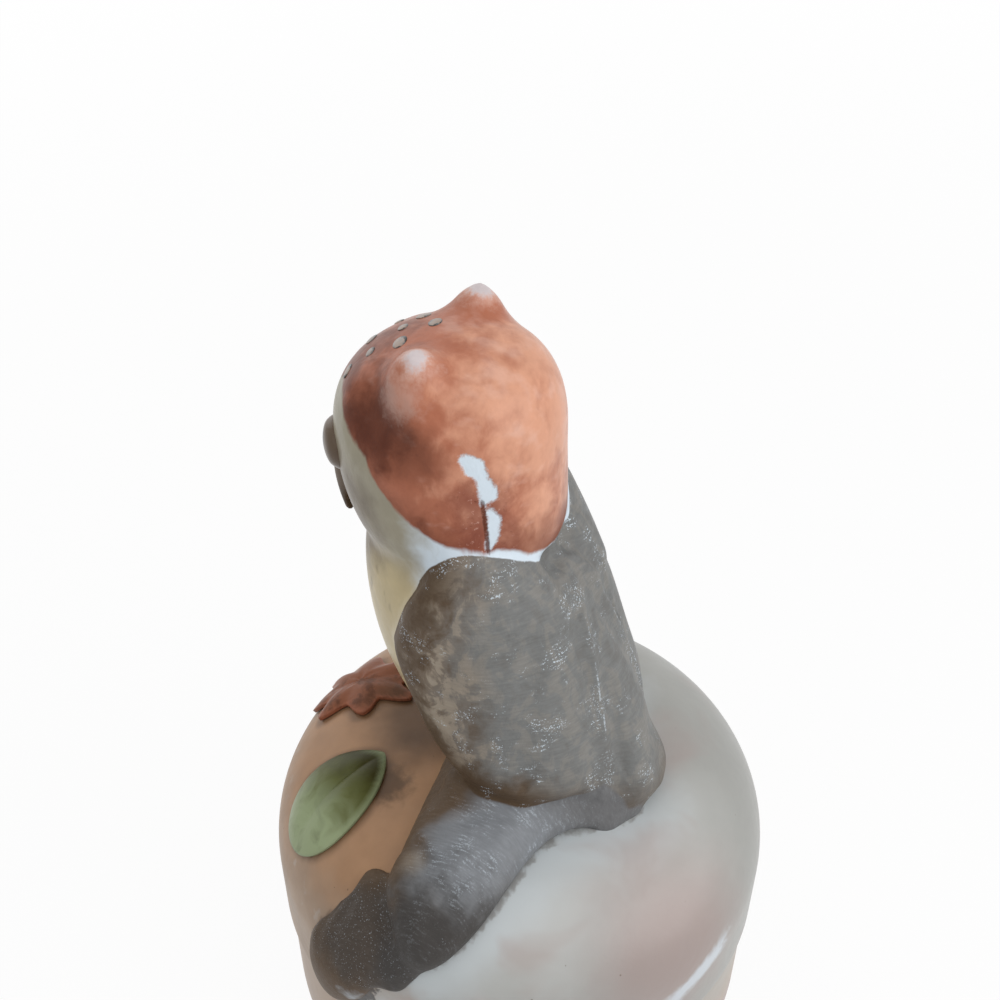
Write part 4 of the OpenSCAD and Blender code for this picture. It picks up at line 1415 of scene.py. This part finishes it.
class OWLBOX_OT_stage(bpy.types.Operator):
    """Set the floor, the light and the camera"""

    bl_idname = "owlbox.stage"
    bl_label = "Stage"

    # Strength of the sky for what it lights; what is seen of it is white
    SKY = 0.39
    # Lamps: name, place, width and power, all aimed at one place; lengths are metres
    AIM = (0, 0, 0.07)
    LAMPS = (
        ("window", (0.02, 0.62, 0.34), 0.6, 2.5), ("sky", (0.12, 0.10, 0.90), 1.2, 2.5),
        ("room", (0.60, -0.20, 0.50), 0.8, 0.5), ("fill", (-0.30, -0.60, 0.45), 0.8, 1.3))
    # Floor: its radius, the share of plain white under the box, which leaves room for the shadow,
    # and the distances between which it grows to full white
    FLOOR = 6
    NEAR_WHITE = 0.94
    NEAR, FAR = 0.15, 0.6
    # Camera: place, right and forward directions, and the width of film and the lens in millimetres
    EYE = (0.1037, 0.04545, 0.18328)
    RIGHT = (-0.4226, 0.9063, 0.0)
    AHEAD = (-0.7043, -0.3284, -0.6293)
    FILM = 36
    LENS = 46.8

    def execute(self, context):
        scene = context.scene
        scene.view_settings.view_transform = "Standard"
        self.floor()
        self.world(scene)
        for lamp in self.LAMPS:
            self.lamp(*lamp)
        self.camera(scene)
        return {"FINISHED"}

    def camera(self, scene):
        """Camera that sees the box as it was photographed."""
        data = bpy.data.cameras.new("camera")
        data.sensor_width = self.FILM
        data.lens = self.LENS
        camera = new_object("camera", data)
        right, ahead = Vector(self.RIGHT).normalized(), Vector(self.AHEAD).normalized()
        turn = Matrix((right, right.cross(ahead), -ahead)).transposed()
        camera.matrix_world = Matrix.Translation(self.EYE) @ turn.to_4x4()
        scene.camera = camera

    def floor(self):
        """White floor that still takes the shadow of the box."""
        bm = bmesh.new()
        bmesh.ops.create_circle(bm, cap_ends=True, segments=64, radius=self.FLOOR)
        mesh = bpy.data.meshes.new("floor")
        bm.to_mesh(mesh)
        bm.free()
        obj = new_object("floor", mesh)
        material = bpy.data.materials.new("floor_white")
        material.use_nodes = True
        sheet = Sheet(material.node_tree)
        seen = self.seen(sheet)
        place = sheet.node("ShaderNodeTexCoord").outputs["Object"]
        out = sheet.node("ShaderNodeVectorMath", {"operation": "LENGTH"}, {0: place})
        far = Level(sheet, out.outputs["Value"]).step(self.NEAR, self.FAR)
        share = seen * (far * (1 - self.NEAR_WHITE) + self.NEAR_WHITE)
        plain = sheet.node("ShaderNodeBsdfDiffuse", None, {"Color": (0.8, 0.8, 0.8)})
        white = sheet.node("ShaderNodeEmission", None, {"Color": (1, 1, 1), "Strength": 1.0})
        both = sheet.node("ShaderNodeMixShader", None, {0: share, 1: plain, 2: white})
        sheet.node("ShaderNodeOutputMaterial", None, {"Surface": both})
        mesh.materials.append(material)

    def world(self, scene):
        """Sky that is white where it is seen and dimmer where it lights."""
        world = bpy.data.worlds.new("studio")
        scene.world = world
        world.use_nodes = True
        sheet = Sheet(world.node_tree)
        level = self.seen(sheet) * (1 - self.SKY) + self.SKY
        sky = sheet.node("ShaderNodeBackground", None, {"Color": (1, 1, 1), "Strength": level})
        sheet.node("ShaderNodeOutputWorld", None, {"Surface": sky})

    def seen(self, sheet):
        """1 where the camera, a reflection or a clear piece shows the surroundings."""
        rays = sheet.node("ShaderNodeLightPath").outputs
        camera, gloss, clear = (
            Level(sheet, rays["Is %s Ray" % kind]) for kind in ("Camera", "Glossy", "Transmission"))
        return camera.above(gloss).above(clear)

    def lamp(self, name, place, wide, power):
        """Round lamp aimed at the box."""
        data = bpy.data.lights.new(name, "AREA")
        data.shape = "ELLIPSE"
        data.size = data.size_y = wide
        data.energy = power
        place = Vector(place)
        turn = (Vector(self.AIM) - place).to_track_quat("-Z", "Y").to_matrix().to_4x4()
        new_object(name, data).matrix_world = Matrix.Translation(place) @ turn


STEPS = (
    OWLBOX_OT_base, OWLBOX_OT_lid, OWLBOX_OT_owl, OWLBOX_OT_face, OWLBOX_OT_feet, OWLBOX_OT_leaves,
    OWLBOX_OT_dots, OWLBOX_OT_stage)


class OWLBOX_PT_panel(bpy.types.Panel):
    """Steps that make the owl box"""

    bl_idname = "OWLBOX_PT_panel"
    bl_label = "Owl box"
    bl_space_type = "VIEW_3D"
    bl_region_type = "UI"
    bl_category = "Owl box"

    def draw(self, context):
        for step in STEPS:
            self.layout.operator(step.bl_idname)
        for group in ("box", "figure", "glazes"):
            part = getattr(context.scene.owl_box, group)
            column = self.layout.column(heading=group)
            for key in part.__annotations__:
                column.prop(part, key)


CLASSES = (BoxSizes, FigureSizes, Glazes, OwlBox, *STEPS, OWLBOX_PT_panel)


def register():
    for item in CLASSES:
        bpy.utils.register_class(item)
    bpy.types.Scene.owl_box = bpy.props.PointerProperty(type=OwlBox)


def unregister():
    del bpy.types.Scene.owl_box
    for item in reversed(CLASSES):
        bpy.utils.unregister_class(item)


def main():
    register()
    bpy.ops.owlbox.base()
    bpy.ops.owlbox.lid()
    bpy.ops.owlbox.owl()
    bpy.ops.owlbox.face()
    bpy.ops.owlbox.feet()
    bpy.ops.owlbox.leaves()
    bpy.ops.owlbox.dots()
    bpy.ops.owlbox.stage()


if __name__ == "__main__":
    main()
